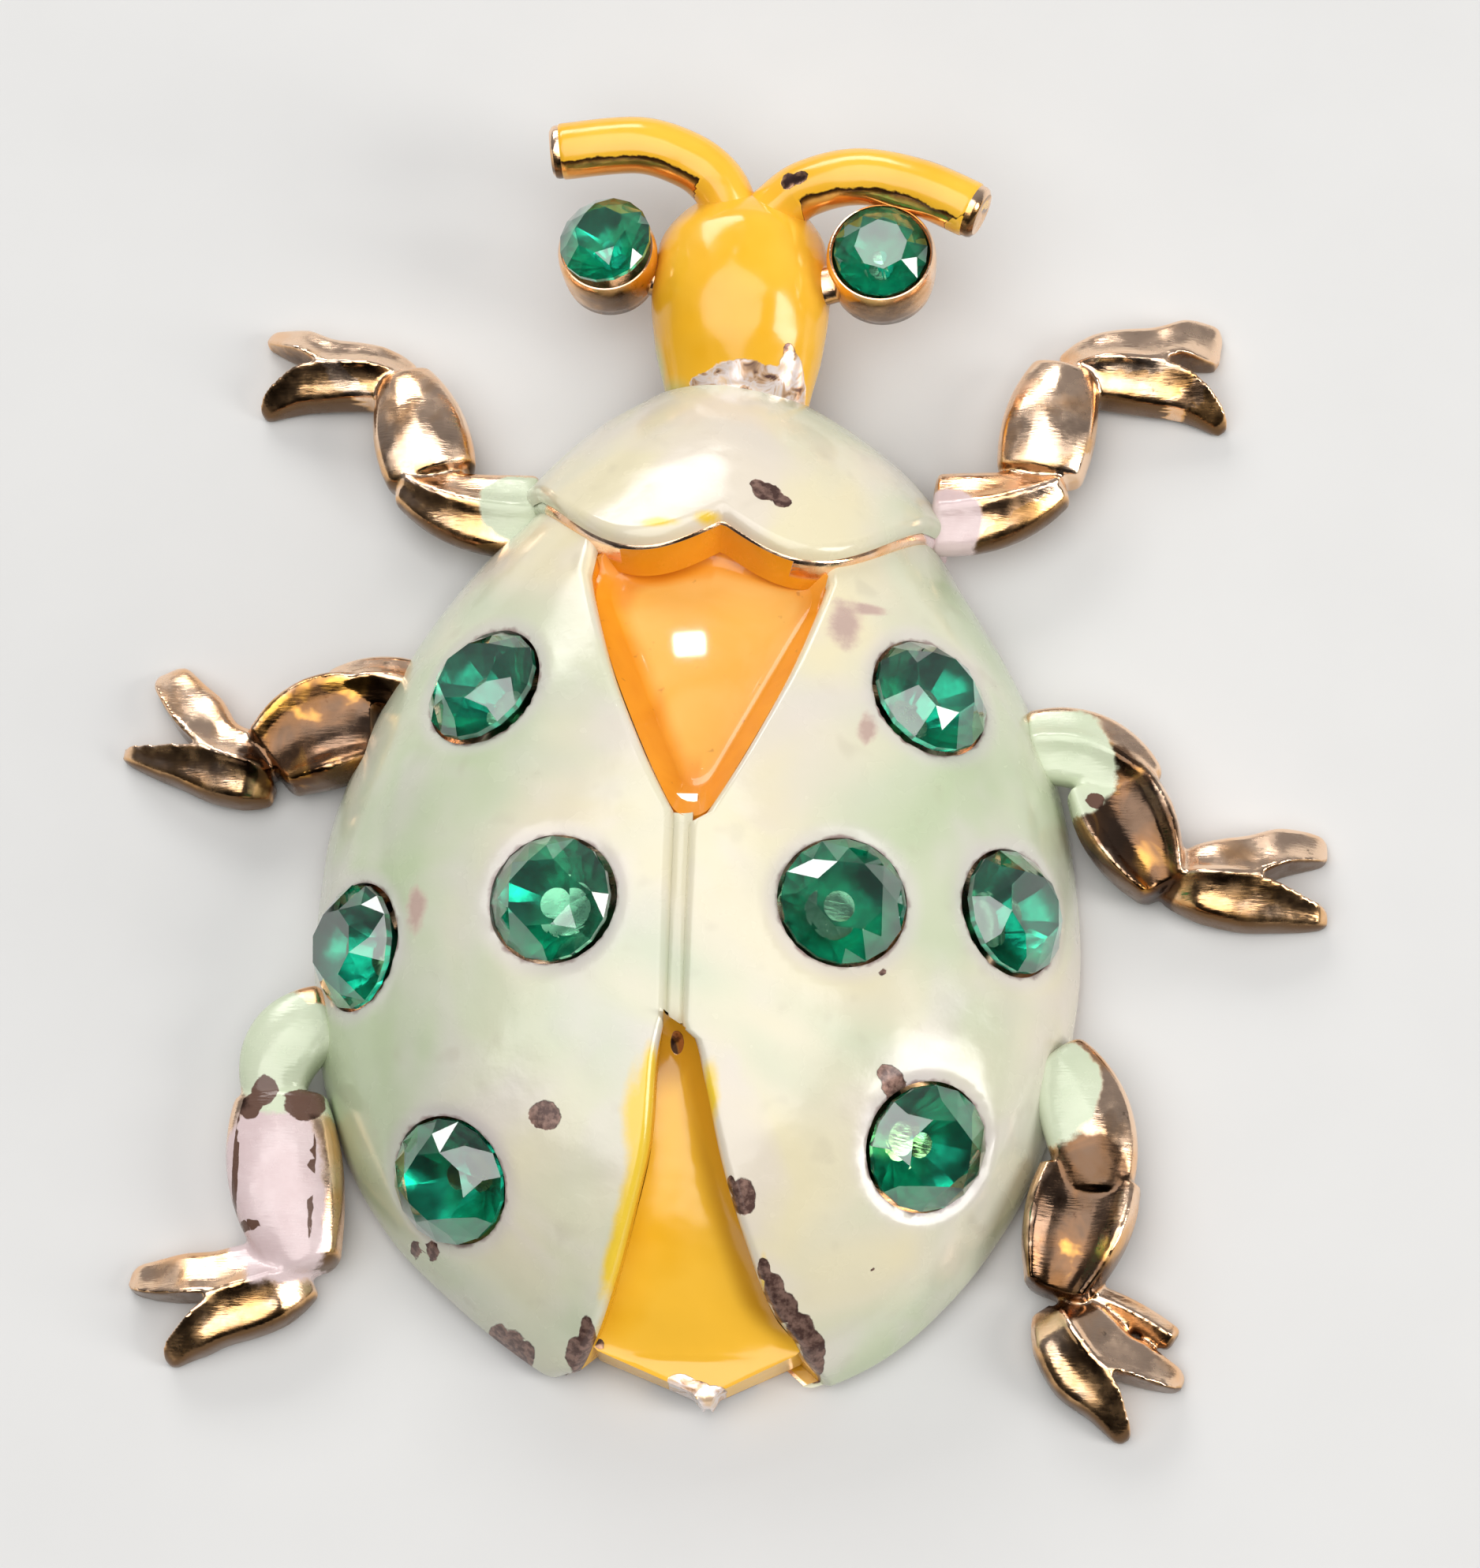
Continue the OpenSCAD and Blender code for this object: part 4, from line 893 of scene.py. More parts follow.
def shieldDish():
    curve = shieldCurve(120)
    floorZ = body["coat"] - body["recess"]
    c, s = math.cos(-shield["fall"]), math.sin(-shield["fall"])

    def ringAt(by, z):
        # the outline set in by this much, this high over the shield's tilted plane
        by, z = np.broadcast_to(by, len(curve)), np.broadcast_to(z, len(curve))
        p = shieldMid + (1 - by[:, None] / shieldInner) * (curve - shieldMid)
        return np.stack([p[:, 0] + shield["x"], shield["tipY"] + p[:, 1] * c - z * s,
                         shield["tipZ"] + p[:, 1] * s + z * c], 1)

    base = ringAt(0, 0)
    dome = shieldHeight(base[:, 0], base[:, 1])
    under = 0.8 * np.clip((base[:, 1] - scallopY(base[:, 0]) + 0.4) / 0.4, 0, 1)  # hidden by the collar
    lift = np.clip(dome, -shield["rim"], shield["rim"]) + under
    lift = np.minimum(lift, np.maximum(dome, -shield["rim"]) + 0.22)
    rings = [ringAt(shieldInner * 0.999, -body["recess"] - shield["foot"]),
             ringAt(shield["run"], -body["recess"] - shield["foot"]), ringAt(-0.05, lift - 0.3)]
    for share in np.linspace(0, 1, 9):  # down the sloping wall
        z = lift * (1 - share) + floorZ * share - 0.02
        rings.append(ringAt(-z * shield["floorAt"] / body["recess"] + shield["cup"] * share, z))
    for share in np.linspace(0.06, 1, 16):  # across the floor
        inward = shield["floorAt"] + (shieldInner - shield["floorAt"]) * share * 0.999
        rings.append(ringAt(inward, floorZ - 0.02))
    dish = solidFrom("shieldDish", *tubeOf(rings), 60)
    dish.data.materials.append(orangeCoat)
    p = pointsOf(dish)
    along = (p[:, 1] - shield["tipY"]) / math.cos(shield["fall"])
    flat = np.stack([p[:, 0] - shield["x"], along], 1) - shieldMid
    turns = np.arctan2(curve[:, 1] - shieldMid[1], curve[:, 0] - shieldMid[0])
    order = np.argsort(turns)
    reach = np.interp(np.arctan2(flat[:, 1], flat[:, 0]), turns[order],
                      np.linalg.norm(curve - shieldMid, axis=1)[order], period=2 * math.pi)
    within = shieldInner * (1 - np.linalg.norm(flat, axis=1) / reach)  # distance in from the outline
    # painted shade on the walls: a band wider on the left and widest along the top wall under the collar
    ahead = np.clip((flat[:, 1] + shieldMid[1]) / shield["length"] - 0.72, 0, 0.2) / 0.2
    wallShadeWidth = shield["wall"] - shield["wallShadeLean"] * np.sign(flat[:, 0]) + shield["wallShadeAhead"] * ahead
    setField(dish, "clearOfWallShade", np.clip((within - wallShadeWidth) / shield["wallShadeFade"], 0, 1))
    dress(dish, "orange_enamel", "shield_enamel")


shieldDish()

# across, half width, along and top of the tail's small point
pointRows = np.array([[0.10, 0.60, 0.740, 0.26], [0.15, 0.58, 0.920, 0.20], [0.20, 0.06, 1.060, 0.15],
                      [0.21, 0.01, 1.105, 0.13]])


def tailGrid(rows, cols, grow):
    first, last = tail["y"] + 0.01 * tail["length"], tail["y"] - 1.06 * tail["length"] - grow
    y = first + (last - first) * clustered(rows, 1.2)
    along = (tail["y"] - y) / tail["length"]
    mid, half, point = (np.interp(along, pointRows[:, 2], pointRows[:, k]) for k in (0, 1, 3))
    mid, half, point = seamX + mid * tail["width"], half * tail["width"], point * body["crown"]
    left, right = tailEdge(y, -1), tailEdge(y, 1)
    far = along > 0.90
    left = np.where(far, np.maximum(np.maximum(left, mid - half), -2.15), left)
    right = np.where(far, np.minimum(np.minimum(right, mid + half), 2.95), right)
    x = left[:, None] + (right - left)[:, None] * clustered(cols, 1.6)[None, :]
    y, along, point = (np.broadcast_to(v[:, None], x.shape) for v in (y, along, point))
    floor = np.where(y / body["length"] < -0.42, -2, domeZ(x, y, -body["recess"]))
    point = np.where(along > 0.60, point, -2)
    floor = tail["soft"] * np.logaddexp(floor / tail["soft"], point / tail["soft"])
    wall = np.clip(1 - (x[:, -1:] - x) / 0.75, 0, 1) ** 2 * np.clip(1 - (along - 0.6) / 0.35, 0, 1)
    rise = np.clip(1 - (tail["y"] - y) / 1.1, 0, 1) ** 2
    return x, y, floor + tail["wall"] * wall + tail["rise"] * rise


def tailFloor():
    x, y, z = tailGrid(90, 40, body["coat"])
    inset, over = 0.09, 0.03
    cup = 0.10 * np.exp(-np.minimum(x - x[:, :1], x[:, -1:] - x) / 0.35)  # the coat creeps up the walls
    lift = (body["coat"] + cup) * rolled(np.abs(y - y[-1, 0]), 0.2)
    foot = np.where((tail["y"] - y[:, :1]) / tail["length"] > 0.90, 0.36, z[:, :1] - 0.2)
    low, high = x[:, :1] + inset, np.maximum(x[:, -1:] - inset, x[:, :1] + inset + 0.01)
    edge = np.hstack([x[:, :1] - over, x, x[:, -1:] + over])
    within = np.hstack([low, np.clip(x, low, high), high])
    long, crest = np.hstack([y[:, :1], y, y[:, -1:]]), np.hstack([foot, z + lift, foot])
    top = np.stack([edge, long, crest], -1)
    bottom = np.stack([within, np.maximum(long, y[-1, 0] + 0.12), np.hstack([foot, z + 0.02, foot])], -1)
    floor = solidFrom("tailFloor", *slabOf(top, bottom))
    floor.data.materials.append(yellowCoat)
    p = pointsOf(floor)
    setSpots(floor, p, tailSpots)
    band = np.clip(1.15 - (tailEdge(p[:, 1], 1) - p[:, 0]) / 0.85, 0, 1)  # darker on the right and on top
    band *= np.clip((p[:, 1] + 10.6) / 1.2, 0, 1)
    setField(floor, "shade", np.maximum(band, np.clip((p[:, 1] + 5.3) / 1.3, 0, 1)))
    dress(floor, "yellow_enamel", "tail_enamel")


tailFloor()
print("shield and tail made")

# along, half width, bottom and top of the head's rows
headRows = np.array([[-0.13, 0.68, 0.22, 0.55], [0.00, 0.71, 0.20, 0.62], [0.12, 0.78, 0.18, 0.74],
                     [0.32, 0.93, 0.15, 0.91], [0.54, 1.00, 0.14, 1.00], [0.76, 0.93, 0.18, 0.96],
                     [0.90, 0.70, 0.27, 0.83], [0.97, 0.42, 0.38, 0.70], [1.00, 0.15, 0.48, 0.60]])
headTables = [smoothTable(headRows[:, 0], headRows[:, c]) for c in (1, 2, 3)]


def headPoint(along, t, grow):
    # t runs round the head from its right side
    half, low, top = (np.interp(along, *table) for table in headTables)
    side, low, top = half * head["width"] / 2 + grow, low * head["height"] - grow, top * head["height"] + grow
    mid, tall = (low + top) / 2, (top - low) / 2
    y = head["y"] + along * (head["length"] + grow)
    return np.stack(np.broadcast_arrays(head["x"] + side * np.cos(t), y, mid + tall * np.sin(t)), -1)


feeler = {"thick": 0.85, "reach": 5.8, "root": 0.96, "sides": 28, "bareFrom": 0.945, "tipRoll": 0.035}
feelers = [np.array([[-0.04, -0.03, 0.50], [-0.10, 0.08, 0.57], [-0.22, 0.165, 0.63], [-0.46, 0.22, 0.68],
                     [-0.83, 0.18, 0.68]]),
           np.array([[0.10, -0.05, 0.50], [0.28, 0.055, 0.60], [0.49, 0.085, 0.66], [0.75, 0.035, 0.68],
                     [1.05, -0.10, 0.68]])]


def feelerTube(stations, radii, count):
    # radii gives the radius from root to tip
    s = np.array([head["x"], head["y"] + head["length"] * feeler["root"], 0]) + feeler["reach"] * stations
    run = np.concatenate([[0], np.cumsum(np.linalg.norm(np.diff(s, axis=0), axis=1))])
    at = np.linspace(0, run[-1], count)
    course = np.stack([np.interp(at, *smoothTable(run, s[:, k])) for k in range(3)], 1)
    for _ in range(6):
        course[1:-1] = (course[:-2] + 2 * course[1:-1] + course[2:]) / 4
    t = np.linspace(0, 2 * math.pi, feeler["sides"], endpoint=False)[:, None]
    rings = []
    for i, at in enumerate(course):
        ahead = course[min(i + 1, count - 1)] - course[max(i - 1, 0)]
        ahead /= np.linalg.norm(ahead)
        side = np.cross(ahead, [0, 0, 1.0])
        side /= np.linalg.norm(side)
        rings.append(at + radii(i / (count - 1)) * (np.cos(t) * side + np.sin(t) * np.cross(side, ahead)))
    return tubeOf(rings)


def coatedRadius(s):
    past = (s - feeler["bareFrom"]) / feeler["tipRoll"]
    return feeler["thick"] / 2 + body["coat"] * (1.0 if past < 0 else max(1 - past**2, -0.1))


def rodRadius(s):
    return feeler["thick"] / 2 + (0.0 if s < 0.93 else 0.25 if s < 0.985 else 0.22 if s < 0.995 else 0.12)


def headCoat():
    rows, cols, start, arc = 70, 96, -0.02, 0.30
    a = (start + (1 - start) * np.sin(np.linspace(0, math.pi / 2, rows)) ** 1.1)[:, None]
    t = np.broadcast_to(np.linspace(-arc, math.pi + arc, cols), (rows, cols))
    toSide = np.minimum(t + arc, math.pi + arc - t) * head["width"] / 2
    edge = np.minimum((a - start) * head["length"] + 0.05, toSide)
    lift = body["gap"] + (body["coat"] - body["gap"]) * rolled(edge, 0.3)
    parts = [slabOf(headPoint(a, t, lift), headPoint(a, t, body["gap"] - 0.03))]
    parts += [feelerTube(stations, coatedRadius, 60) for stations in feelers]
    coat = solidFrom("headCoat", *joined(parts), angle=50)
    coat.data.materials.append(yellowCoat)
    p, normals = pointsOf(coat), vertexValues(coat, "normal")
    past = (p[:, 0] - head["x"]) ** 2 / 2.1**2 + (p[:, 1] - head["y"] - 3.0) ** 2 / 3.1**2
    onFeeler = (p[:, 1] > head["y"] + head["length"] * 0.80) & (past > 1.0)
    facing = np.clip((-normals[:, 1] * 0.9 - normals[:, 2] * 0.75 + 0.28) * 1.1, 0, 1)
    setField(coat, "bare", np.where(onFeeler, facing, 0))
    setSpots(coat, p, headSpots)
    setField(coat, "shade", np.where(onFeeler, 0.0, np.clip(-normals[:, 1] * 0.8 - 0.1, 0, 0.35)))
    dress(coat, "yellow_enamel", "head_enamel")


headCoat()
print("head made")

legs = {"reach": 7.6, "width": 2.8, "height": 1.8, "steps": 16, "voxel": 0.065, "soften": 9, "keep": 0.26}
hips = {"frontLeft": (-1, 0.47, 0.432), "frontRight": (1, 0.57, 0.432), "middleLeft": (-1, 0.78, 0.250),
        "middleRight": (1, 0.88, 0.195), "rearLeft": (-1, 0.95, -0.118), "rearRight": (1, 0.93, -0.145)}
# thigh, shin, foot, two toes and a third toe: start x y, end x y, bow, width at start, middle and end
legPieces = {
    "frontLeft": [
        (-0.01, 0.01, 0.47, 0.12, -0.09, 0.76, 0.71, 0.48),
        (0.37, 0.13, 0.49, 0.52, 0, 0.8, 0.85, 0.44),
        (0.47, 0.51, 0.83, 0.54, 0.02, 0.49, 0.6, 0.67),
        (0.77, 0.63, 0.98, 0.69, -0.02, 0.33, 0.26, 0.14),
        (0.77, 0.49, 0.98, 0.41, 0.07, 0.36, 0.29, 0.14)],
    "frontRight": [
        (0.03, 0.03, 0.46, 0.14, -0.08, 0.76, 0.7, 0.44),
        (0.38, 0.16, 0.46, 0.57, 0.01, 0.76, 0.85, 0.56),
        (0.45, 0.56, 0.83, 0.57, 0.04, 0.52, 0.74, 0.82),
        (0.79, 0.69, 0.98, 0.68, 0.02, 0.37, 0.44, 0.41),
        (0.77, 0.51, 0.99, 0.39, 0.09, 0.4, 0.32, 0.15)],
    "middleLeft": [
        (-0.03, -0.03, 0.28, -0.02, 0.11, 0.55, 0.52, 0.58),
        (0.13, -0.12, 0.48, -0.26, 0.08, 0.85, 1, 0.67),
        (0.46, -0.3, 0.71, -0.22, -0.01, 0.55, 0.71, 0.71),
        (0.65, -0.15, 0.86, 0.09, -0.04, 0.56, 0.45, 0.34),
        (0.68, -0.28, 0.99, -0.2, -0.03, 0.4, 0.26, 0.12)],
    "middleRight": [
        (-0.02, 0.01, 0.38, -0.12, 0.12, 0.62, 0.71, 0.52),
        (0.23, -0.09, 0.43, -0.46, -0.01, 0.71, 0.85, 0.4),
        (0.43, -0.42, 0.78, -0.42, 0, 0.45, 0.77, 0.88),
        (0.735, -0.315, 0.96, -0.29, 0.03, 0.43, 0.37, 0.25),
        (0.72, -0.49, 0.96, -0.52, -0.03, 0.43, 0.3, 0.16)],
    "rearLeft": [
        (0.01, 0.09, 0.18, -0.18, 0.21, 0.6, 0.72, 0.73),
        (0.16, -0.16, 0.04, -0.74, 0.04, 0.77, 1, 0.55),
        (0.05, -0.72, 0.4, -0.83, -0.04, 0.58, 0.8, 0.74),
        (0.35, -0.73, 0.63, -0.75, -0.05, 0.43, 0.38, 0.23),
        (0.33, -0.92, 0.49, -1.02, 0.05, 0.38, 0.27, 0.16)],
    "rearRight": [
        (0.02, 0.1, 0.17, -0.36, 0.09, 0.55, 0.81, 0.77),
        (0.15, -0.28, 0.04, -0.67, 0.01, 0.88, 0.92, 0.51),
        (0.04, -0.69, 0.22, -0.94, -0.04, 0.54, 0.78, 0.8),
        (0.24, -0.83, 0.45, -0.92, -0.03, 0.43, 0.33, 0.19),
        (0.16, -0.95, 0.27, -1.11, 0.01, 0.43, 0.29, 0.15),
        (0.15, -0.66, 0.42, -0.79, 0.03, 0.25, 0.26, 0.22)],
}
# underside at start and end, ridge at start, middle and end, in the same order
legHeights = [(0.47, 0.41, 1.10, 1.20, 1.05), (0.33, 0.17, 1.06, 1.18, 0.91), (0.12, 0.07, 0.87, 1.00, 0.74),
              (0.05, 0.00, 0.66, 0.58, 0.34), (0.04, 0.00, 0.69, 0.60, 0.36), (0.16, 0.09, 0.60, 0.58, 0.45)]
# half a leg's section, from its underside to its ridge: out, up
ridged = [(0.78, 0.0), (0.95, 0.10), (1.00, 0.33), (0.97, 0.52), (0.88, 0.64), (0.80, 0.69), (0.55, 0.76),
          (0.28, 0.86), (0.12, 0.96), (0.0, 1.0)]
dished = [(0.78, 0.0), (0.95, 0.12), (1.00, 0.40), (0.97, 0.70), (0.90, 0.90), (0.82, 0.97), (0.70, 0.93),
          (0.50, 0.82), (0.25, 0.76), (0.0, 0.75)]
rounded = [(0.78, 0.0), (0.95, 0.12), (1.00, 0.40), (0.985, 0.60), (0.93, 0.74), (0.84, 0.82), (0.62, 0.90),
           (0.32, 0.97), (0.0, 1.0)]
# across a foot's side from its outer edge to its ridge, and the height there
footSection = [(0.06, 0.0), (0.0, 0.12), (0.0, 0.38), (0.03, 0.54), (0.12, 0.64), (0.22, 0.68), (0.48, 0.75),
               (0.74, 0.86), (0.90, 0.96), (1.0, 1.0), (1.0, 0.5), (1.0, 0.0)]
hollowShins = ["middleLeft", "middleRight", "rearRight"]


def through(v, t):
    return v[0] * (1 - t) * (1 - 2 * t) + v[1] * 4 * t * (1 - t) + v[2] * t * (2 * t - 1)


def legPoint(hip, row, t):
    start, end = np.array(row[:2]), np.array(row[2:4])
    run = end - start
    p = start + run * t + np.array([-run[1], run[0]]) * row[4] * 4 * t * (1 - t)
    return np.array([hip[0] * (hip[1] * body["halfWidth"] + legs["reach"] * p[0]),
                     hip[2] * body["length"] + legs["reach"] * p[1]])


def legSide(hip, row, t, e=0.01):
    # from the middle of a piece of leg to its right edge
    ahead = legPoint(hip, row, t + e) - legPoint(hip, row, t - e)
    ahead /= np.linalg.norm(ahead)
    return np.array([ahead[1], -ahead[0]]) * through(row[5:], t) * legs["width"] / 2


def legPiece(hip, row, right, heights):
    section = right + [(-x, z) for x, z in right[-2::-1]]
    ends = np.array([0.0, 0.012, 0.035, 0.07])
    rings = []
    for t in np.concatenate([ends, np.linspace(0.13, 0.87, legs["steps"]), 1 - ends[::-1]]):
        near = min(t, 1 - t)  # both ends are rolled in
        rim = 0.72 if near < 0.005 else 0.88 if near < 0.02 else 1.0
        if right is dished and 0.02 <= near < 0.06:
            rim = 1.03
        at, side = legPoint(hip, row, t), legSide(hip, row, t) * rim
        low = legs["height"] * (heights[0] * (1 - t) + heights[1] * t)
        top = legs["height"] * through(heights[2:], t)
        top = low + (top - low) * (rim if rim < 1 else 1 + (rim - 1) * 0.6)
        rings.append([(at[0] + side[0] * x, at[1] + side[1] * x, low + (top - low) * z) for x, z in section])
    return tubeOf(rings)


def footHalf(hip, foot, toe, footHeights, toeHeights):
    # one side of a foot and the toe that it runs out into: outer edge, ridge, then the toe's inner edge
    toeFrom, outer, inner, low, top = 0.22, [], [], [], []
    way = 1 if (legPoint(hip, toe, 0.9) - legPoint(hip, foot, 1.0)) @ legSide(hip, foot, 1.0) > 0 else -1
    for t in np.linspace(0, 0.84, 12):
        middle, side = legPoint(hip, foot, t), way * legSide(hip, foot, t)
        outer.append(middle + side)
        inner.append(middle - 0.08 * side)
        low.append(footHeights[0] * (1 - t) + footHeights[1] * t)
        top.append(through(footHeights[2:], t))
    last = top[-1]
    for t in np.linspace(toeFrom, 1, 12):
        middle, side = legPoint(hip, toe, t), way * legSide(hip, toe, t)
        outer.append(middle + side)
        inner.append(middle - side)
        low.append(toeHeights[0] * (1 - t))
        top.append(last + (toeHeights[4] - last) * ((t - toeFrom) / (1 - toeFrom)) ** 1.3)
    outer, inner, low, top = (np.array(v, float) for v in (outer, inner, low, top))
    for _ in range(3):
        for line in (outer, inner, low, top):
            line[1:-1] = 0.5 * line[1:-1] + 0.25 * (line[:-2] + line[2:])
    n, rings = len(top), []
    rims = np.interp(np.arange(n), [0, 1, 2, 4, n - 3, n - 2, n - 1], [0.58, 0.76, 0.88, 1, 1, 0.93, 0.60])
    for o, i, z0, z1, rim in zip(outer, inner, low * legs["height"], top * legs["height"], rims):
        middle = (o + i) / 2
        o, i, z1 = middle + (o - middle) * rim, middle + (i - middle) * rim, z0 + (z1 - z0) * rim
        rings.append([tuple(o + (i - o) * w) + (z0 + (z1 - z0) * h,) for w, h in footSection])
    return tubeOf(rings)


def allLegs():
    pieces = []
    for name, rows in legPieces.items():
        hip = hips[name]
        thigh = (*rows[0][:6], rows[0][6] * 0.98, rows[0][7] * 0.72)  # it narrows under the shin
        upper = rounded if name.startswith("rear") else ridged
        shin = dished if name in hollowShins else rounded
        pieces += [legPiece(hip, thigh, upper, legHeights[0]), legPiece(hip, rows[1], shin, legHeights[1])]
        pieces += [footHalf(hip, rows[2], rows[i], legHeights[2], legHeights[i]) for i in (3, 4)]
        pieces += [legPiece(hip, row, ridged, legHeights[5]) for row in rows[5:]]
    skin = solidFrom("castLegs", *joined(pieces))
    cast = skin.modifiers.new("cast", "REMESH")  # one skin over the overlapping pieces
    cast.mode, cast.voxel_size, cast.use_smooth_shade = "VOXEL", legs["voxel"] * mm, True
    soft = skin.modifiers.new("soft", "SMOOTH")
    soft.factor, soft.iterations = 0.5, legs["soften"]
    fewer = skin.modifiers.new("fewer", "DECIMATE")
    fewer.ratio = legs["keep"]
    return applied(skin)


def hollowOf(p):
    # how far inside the hollow face of a dished shin a point lies
    best = np.zeros(len(p))
    for name in hollowShins:
        row = legPieces[name][1]
        for t in np.linspace(0.06, 0.94, 26):
            at = legPoint(hips[name], row, t)
            reach = through(row[5:], t) * legs["width"] / 2
            best = np.maximum(best, 1.2 - np.hypot(p[:, 0] - at[0], p[:, 1] - at[1]) / reach)
    return np.clip(best * 1.6, 0, 1)


def wingMetal(side):
    a, u, edge = wingGrid(side, 0.0, 110, 48)
    bottom = domePoint(a, u, -(body["recess"] + 0.12))
    bottom[..., 2] = np.maximum(bottom[..., 2], 0)
    return slabOf(domePoint(a, u, -0.02 * (1 - rolled(edge, 0.15))), bottom)


def core():
    # the domed wall between the recesses and the hollow back
    first, last = -0.427, 0.505
    a = first + (last - first) * clustered(90, 1.4)[:, None]
    u = np.linspace(-math.pi / 2, math.pi / 2, 72)[None, :]
    return slabOf(domePoint(a, u, -(body["recess"] + 0.03)), domePoint(a, u, -body["wall"]))


def grooveStrip():
    x, y, across = grooveGrid(50, 9, 0.7, 0.05, 0.33)
    z = domeZ(x, y, -body["grooveDepth"])
    return sheetSlab(x, y, z, z - 0.6)


def collarMetal():
    grid, u, toScallop, toRim = collarGrid(50, 140, 0.0, 0.0, collar["step"])
    lift = collar["step"] * (0.72 + 0.28 * rolled(toScallop, 0.14))
    return slabOf(domePoint(grid, u, lift), domePoint(grid, u, -0.3))


def headMetal():
    t = np.linspace(0, 2 * math.pi, 72, endpoint=False)
    nose = 0.9 + 0.1 * np.sin(np.linspace(0.1, math.pi / 2, 12))
    along = np.concatenate([np.linspace(-0.13, 0.9, 40), nose])
    return tubeOf([headPoint(a, t, 0) for a in along])


def tailPlate():
    x, y, z = tailGrid(70, 30, 0.0)
    middle, span = (x[:, :1] + x[:, -1:]) / 2, np.maximum((x[:, -1:] - x[:, :1]) / 2, 0.02)
    x = middle + (x - middle) * np.maximum(1 - 0.13 / span, 0.3)  # the coat wraps round its sides
    return sheetSlab(x, y, z + 0.01, np.where(y < -8.6, 0.0, z - 0.5))


cups = {"wall": 0.15, "height": 1.7, "cone": 0.25, "coneWidth": 0.55, "strut": 0.4, "leftSlimmer": 0.13,
        "leftLower": 0.2}


def eyeCup(place, isLeft):
    r = eyes["size"] / 2 + stones["seatGap"] + cups["wall"] - isLeft * cups["leftSlimmer"]
    top = eyes["top"] - isLeft * cups["leftLower"]
    low = top - cups["height"]
    foot = low - cups["height"] * cups["cone"]
    inside = r - cups["wall"]
    cone = r * cups["coneWidth"]
    profile = [(cone * 0.6, foot), (cone, foot + 0.05), (r * 0.80, low - 0.12),
               (r * 0.93, low + 0.1), (r * 0.97, low + 0.5), (r, top - 0.45), (r * 0.99, top - 0.22),
               (r - 0.05, top - 0.08), (r - 0.09, top - 0.01), (inside + 0.03, top), (inside, top - 0.05),
               (inside, top - 0.25), (inside * 0.3, top - 1.0), (0.02, top - 1.05)]
    x, y = head["x"] + place[0] * head["width"], head["y"] + place[1] * head["length"]
    ways = np.array([-np.sign(place[0]) * 0.8, -0.2, 0]) * 2 * r  # the strut runs to the head
    ahead = ways / np.linalg.norm(ways)
    across, up = np.array([-ahead[1], ahead[0], 0]), np.array([0, 0, 0.42])
    t = np.linspace(0, 2 * math.pi, 20, endpoint=False)[:, None]
    strut = []
    for s in np.linspace(0, 1, 8):
        width = r * cups["strut"] * (1.15 - 0.25 * math.sin(math.pi * s))
        at = np.array([x, y, low + cups["height"] * 0.25]) + ways * s
        strut.append(at + np.cos(t) * across * width + np.sin(t) * up)
    return joined([tubeOf(spun(profile, 56, (x, y))), tubeOf(strut)])


# the two bosses on the roof of the hollow that hold the pin
boss = {"y": 0.14 * body["length"], "x": 3.4, "low": 2.64, "radius": 1.1, "sunk": 0.45}


def bosses():
    r, z, parts = boss["radius"], boss["low"], []
    for x in (-boss["x"], boss["x"]):
        high = float(domeZ(x, boss["y"])) - boss["sunk"]
        parts.append(tubeOf(spun([(r - 0.05, z), (r, z + 0.05), (r, high)], 40, (x, boss["y"]))))
    return joined(parts)


# where paint lies on the casting, and where the eye cups keep less painted shade, in mm
paint = {"shieldX": 0.05, "shieldReach": 3.40, "shieldFrom": 6.5, "cupFrom": 15.0, "cupBeside": 1.9,
         "cupShare": 0.45, "tailMargin": 0.12, "tailTo": -10.9}


def casting():
    dome = solidFrom("castDome", *joined([wingMetal(-1), wingMetal(1)]))
    holesCut(dome, wingSeats.values(), -1.25, 1.2)
    rods = [feelerTube(stations, rodRadius, 80) for stations in feelers]
    rest = joined([core(), grooveStrip(), collarMetal(), headMetal(), tailPlate(), bosses(), *rods,
                   eyeCup(eyePlaces["left"], True), eyeCup(eyePlaces["right"], False)])
    metal = solidFrom("castMetal", *rest, angle=32)
    merge(merge(metal, dome), allLegs())
    metal.data.materials.clear()
    metal.data.materials.append(gold)
    p = pointsOf(metal)
    x, y, z = p.T
    over, past = z - domeZ(x, y), y - scallopY(x)  # above the dome, ahead of the scallops
    setField(metal, "orange", (np.abs(x - paint["shieldX"]) < paint["shieldReach"]) & (y > paint["shieldFrom"])
             & (z > 3.0) & (past < 0.03) & (over < 0.40))
    # the collar's lip and the eye cups keep less of the metal's painted shade
    onLip = (np.abs(past - 0.08) < 0.22) & (over > 0.2)
    onCup = (y > paint["cupFrom"]) & (np.abs(x - head["x"]) > paint["cupBeside"]) & (z < eyes["top"])
    setField(metal, "lip", onLip + paint["cupShare"] * onCup)
    setField(metal, "ochre", (x > tailEdge(y, -1) - paint["tailMargin"]) & (y < tail["y"] + 0.1)
             & (x < tailEdge(y, 1) + paint["tailMargin"]) & (y > paint["tailTo"]) & (over < 0.03))
    setField(metal, "hollow", hollowOf(p))
    setSpots(metal, p, legSpots)
    dress(metal, "cast_metal", "casting")


casting()
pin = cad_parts["pin_back"]
pin.data.materials.clear()
pin.data.materials.append(plainGold)
print("casting made")


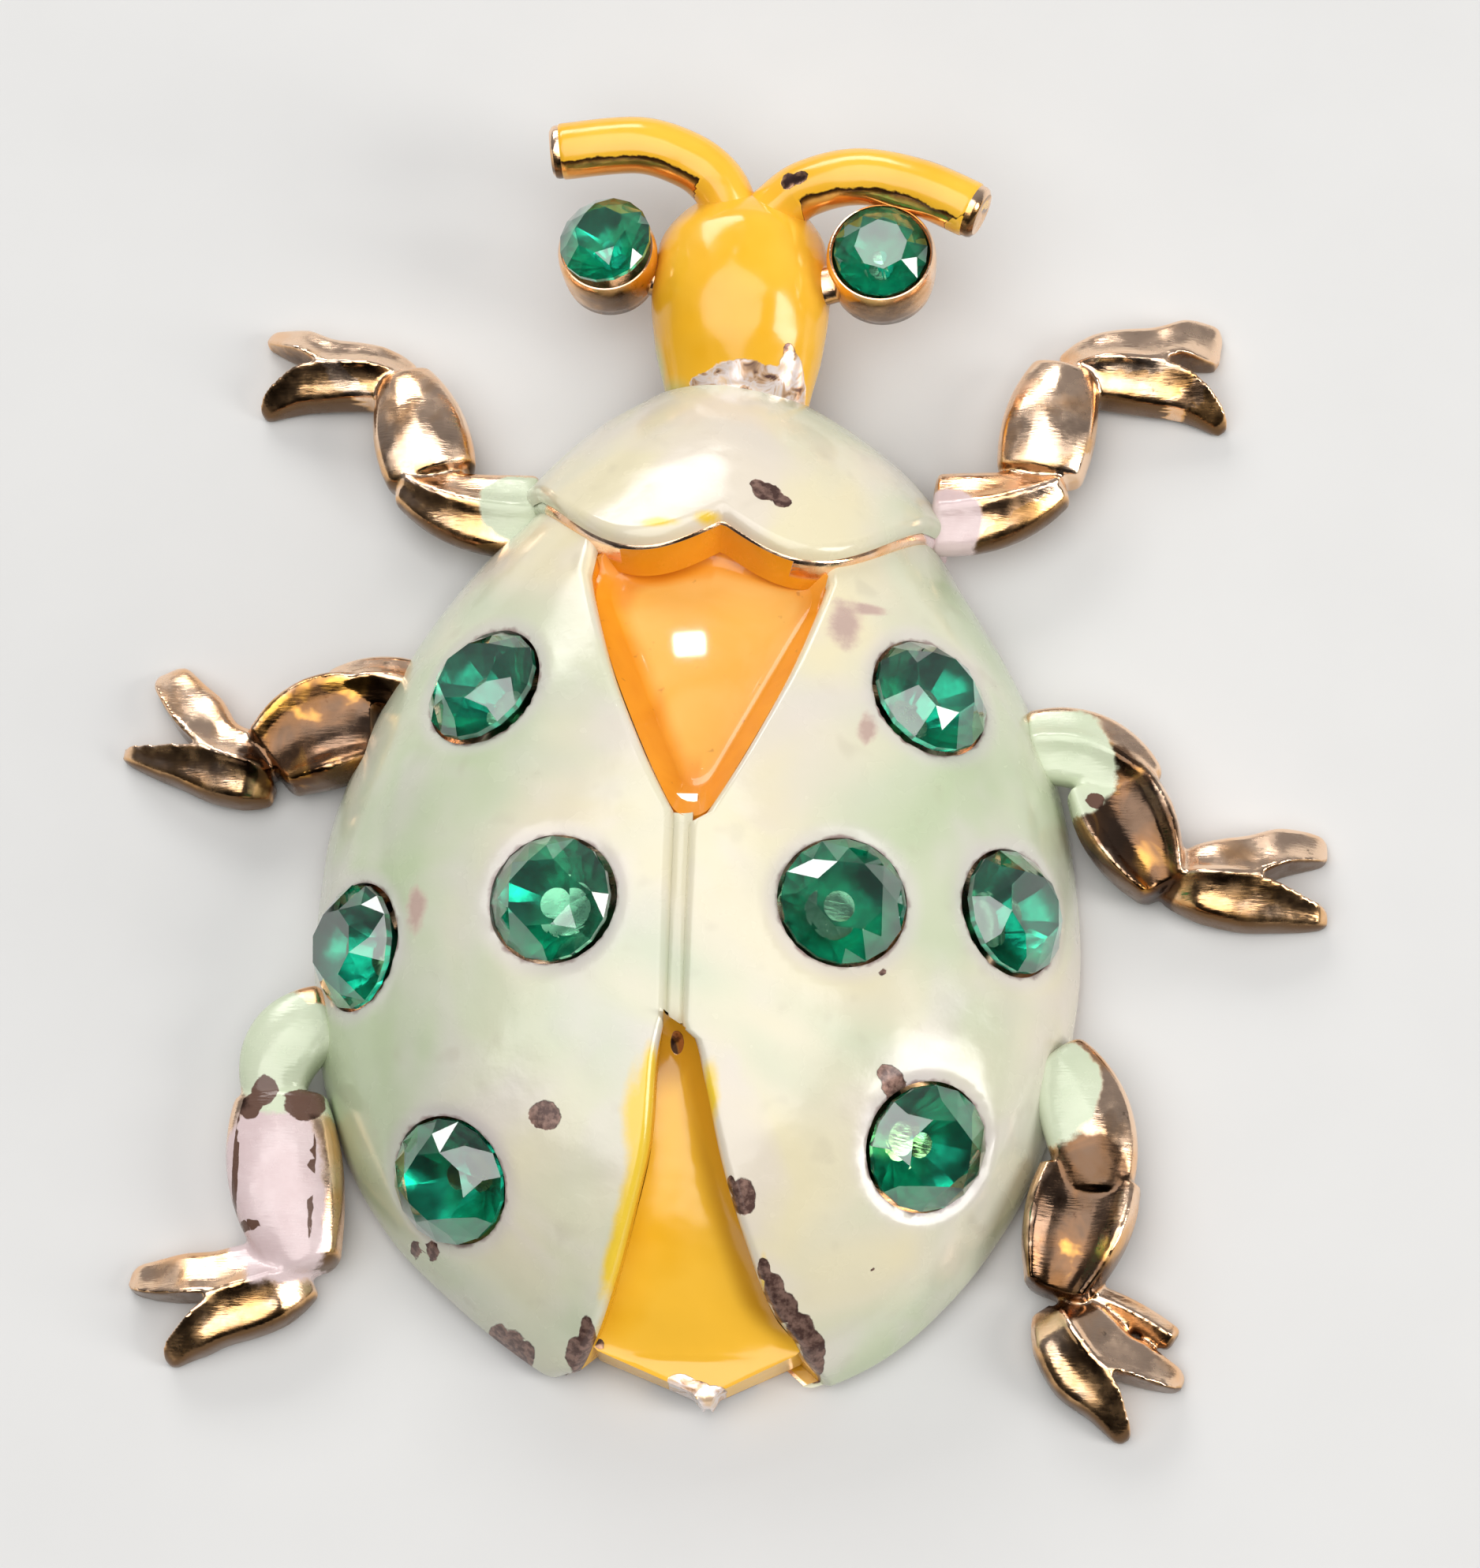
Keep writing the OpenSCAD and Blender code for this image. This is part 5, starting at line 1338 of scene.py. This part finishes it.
def paleFloor():
    mesh = bpy.data.meshes.new("floor")
    s = 0.5
    mesh.from_pydata([(-s, -s, 0), (s, -s, 0), (s, s, 0), (-s, s, 0)], [], [(0, 1, 2, 3)])
    look = newLook("palePaper")
    grey = look.ramp(look.noise(0.25, 4.0), (0.35, (0.645, 0.645, 0.635)), (0.65, (0.655, 0.655, 0.645)))
    look.put({"Base Color": grey, "Roughness": 0.9})
    mesh.materials.append(look.owner)
    linked("floor", mesh)


# place, size, watts and colour of each light
lights = {
    "window": ((-0.09, 0.25, 0.15), (0.20, 0.09), 0.36, (1.0, 0.99, 0.98)),
    "overhead": ((-0.04, -0.05, 0.36), (0.42, 0.42), 1.40, (1.0, 0.99, 0.98)),
    "sideFill": ((0.26, -0.06, 0.15), (0.10, 0.18), 0.46, (1.0, 0.98, 0.96)),
    "glint": ((-0.019, 0.1439, 0.1886), (0.0020, 0.0014), 0.0012, (1, 1, 1)),  # the small spark in the shield
}


def areaLight(name, place, size, power, colour):
    light = bpy.data.lights.new(name, "AREA")
    light.shape, light.size, light.size_y = "RECTANGLE", size[0], size[1]
    light.energy, light.color = power, colour
    lamp = linked(name, light)
    lamp.location = place
    lamp.rotation_euler = (Vector((0, 0, 0.002)) - Vector(place)).to_track_quat("-Z", "Y").to_euler()


paleFloor()
for name, values in lights.items():
    areaLight(name, *values)

world = bpy.data.worlds.new("studio")
bpy.context.scene.world = world
sky = Look(world)
ahead = sky.part(sky.make("ShaderNodeTexCoord", {}, "Generated"), 1)
skyLook = {"stops": [(0.0, (0.04, 0.04, 0.045)), (0.5, (0.30, 0.30, 0.33)), (1.0, (0.85, 0.85, 0.90))],
           "strength": 0.31}
sky.put({"Color": sky.ramp(sky.ranged(ahead, -0.9, 0.9), *skyLook["stops"]), "Strength": skyLook["strength"]})

photo = {"height": 1988.0, "focal": 6500.0}  # in pixels
camera = bpy.data.cameras.new("camera")
camera.sensor_fit, camera.sensor_height = "VERTICAL", 36.0
camera.lens = camera.sensor_height * photo["focal"] / photo["height"]
camera.clip_start, camera.clip_end = 0.01, 5.0
eyePoint = linked("camera", camera)
eyePoint.matrix_world = Matrix((
    (0.99734, -0.01509, 0.07138, 0.009982), (0.03651, 0.95031, -0.30917, -0.035298),
    (-0.06316, 0.31095, 0.94832, 0.121552), (0, 0, 0, 1)))
bpy.context.scene.camera = eyePoint
bpy.context.scene.view_settings.view_transform = "Standard"
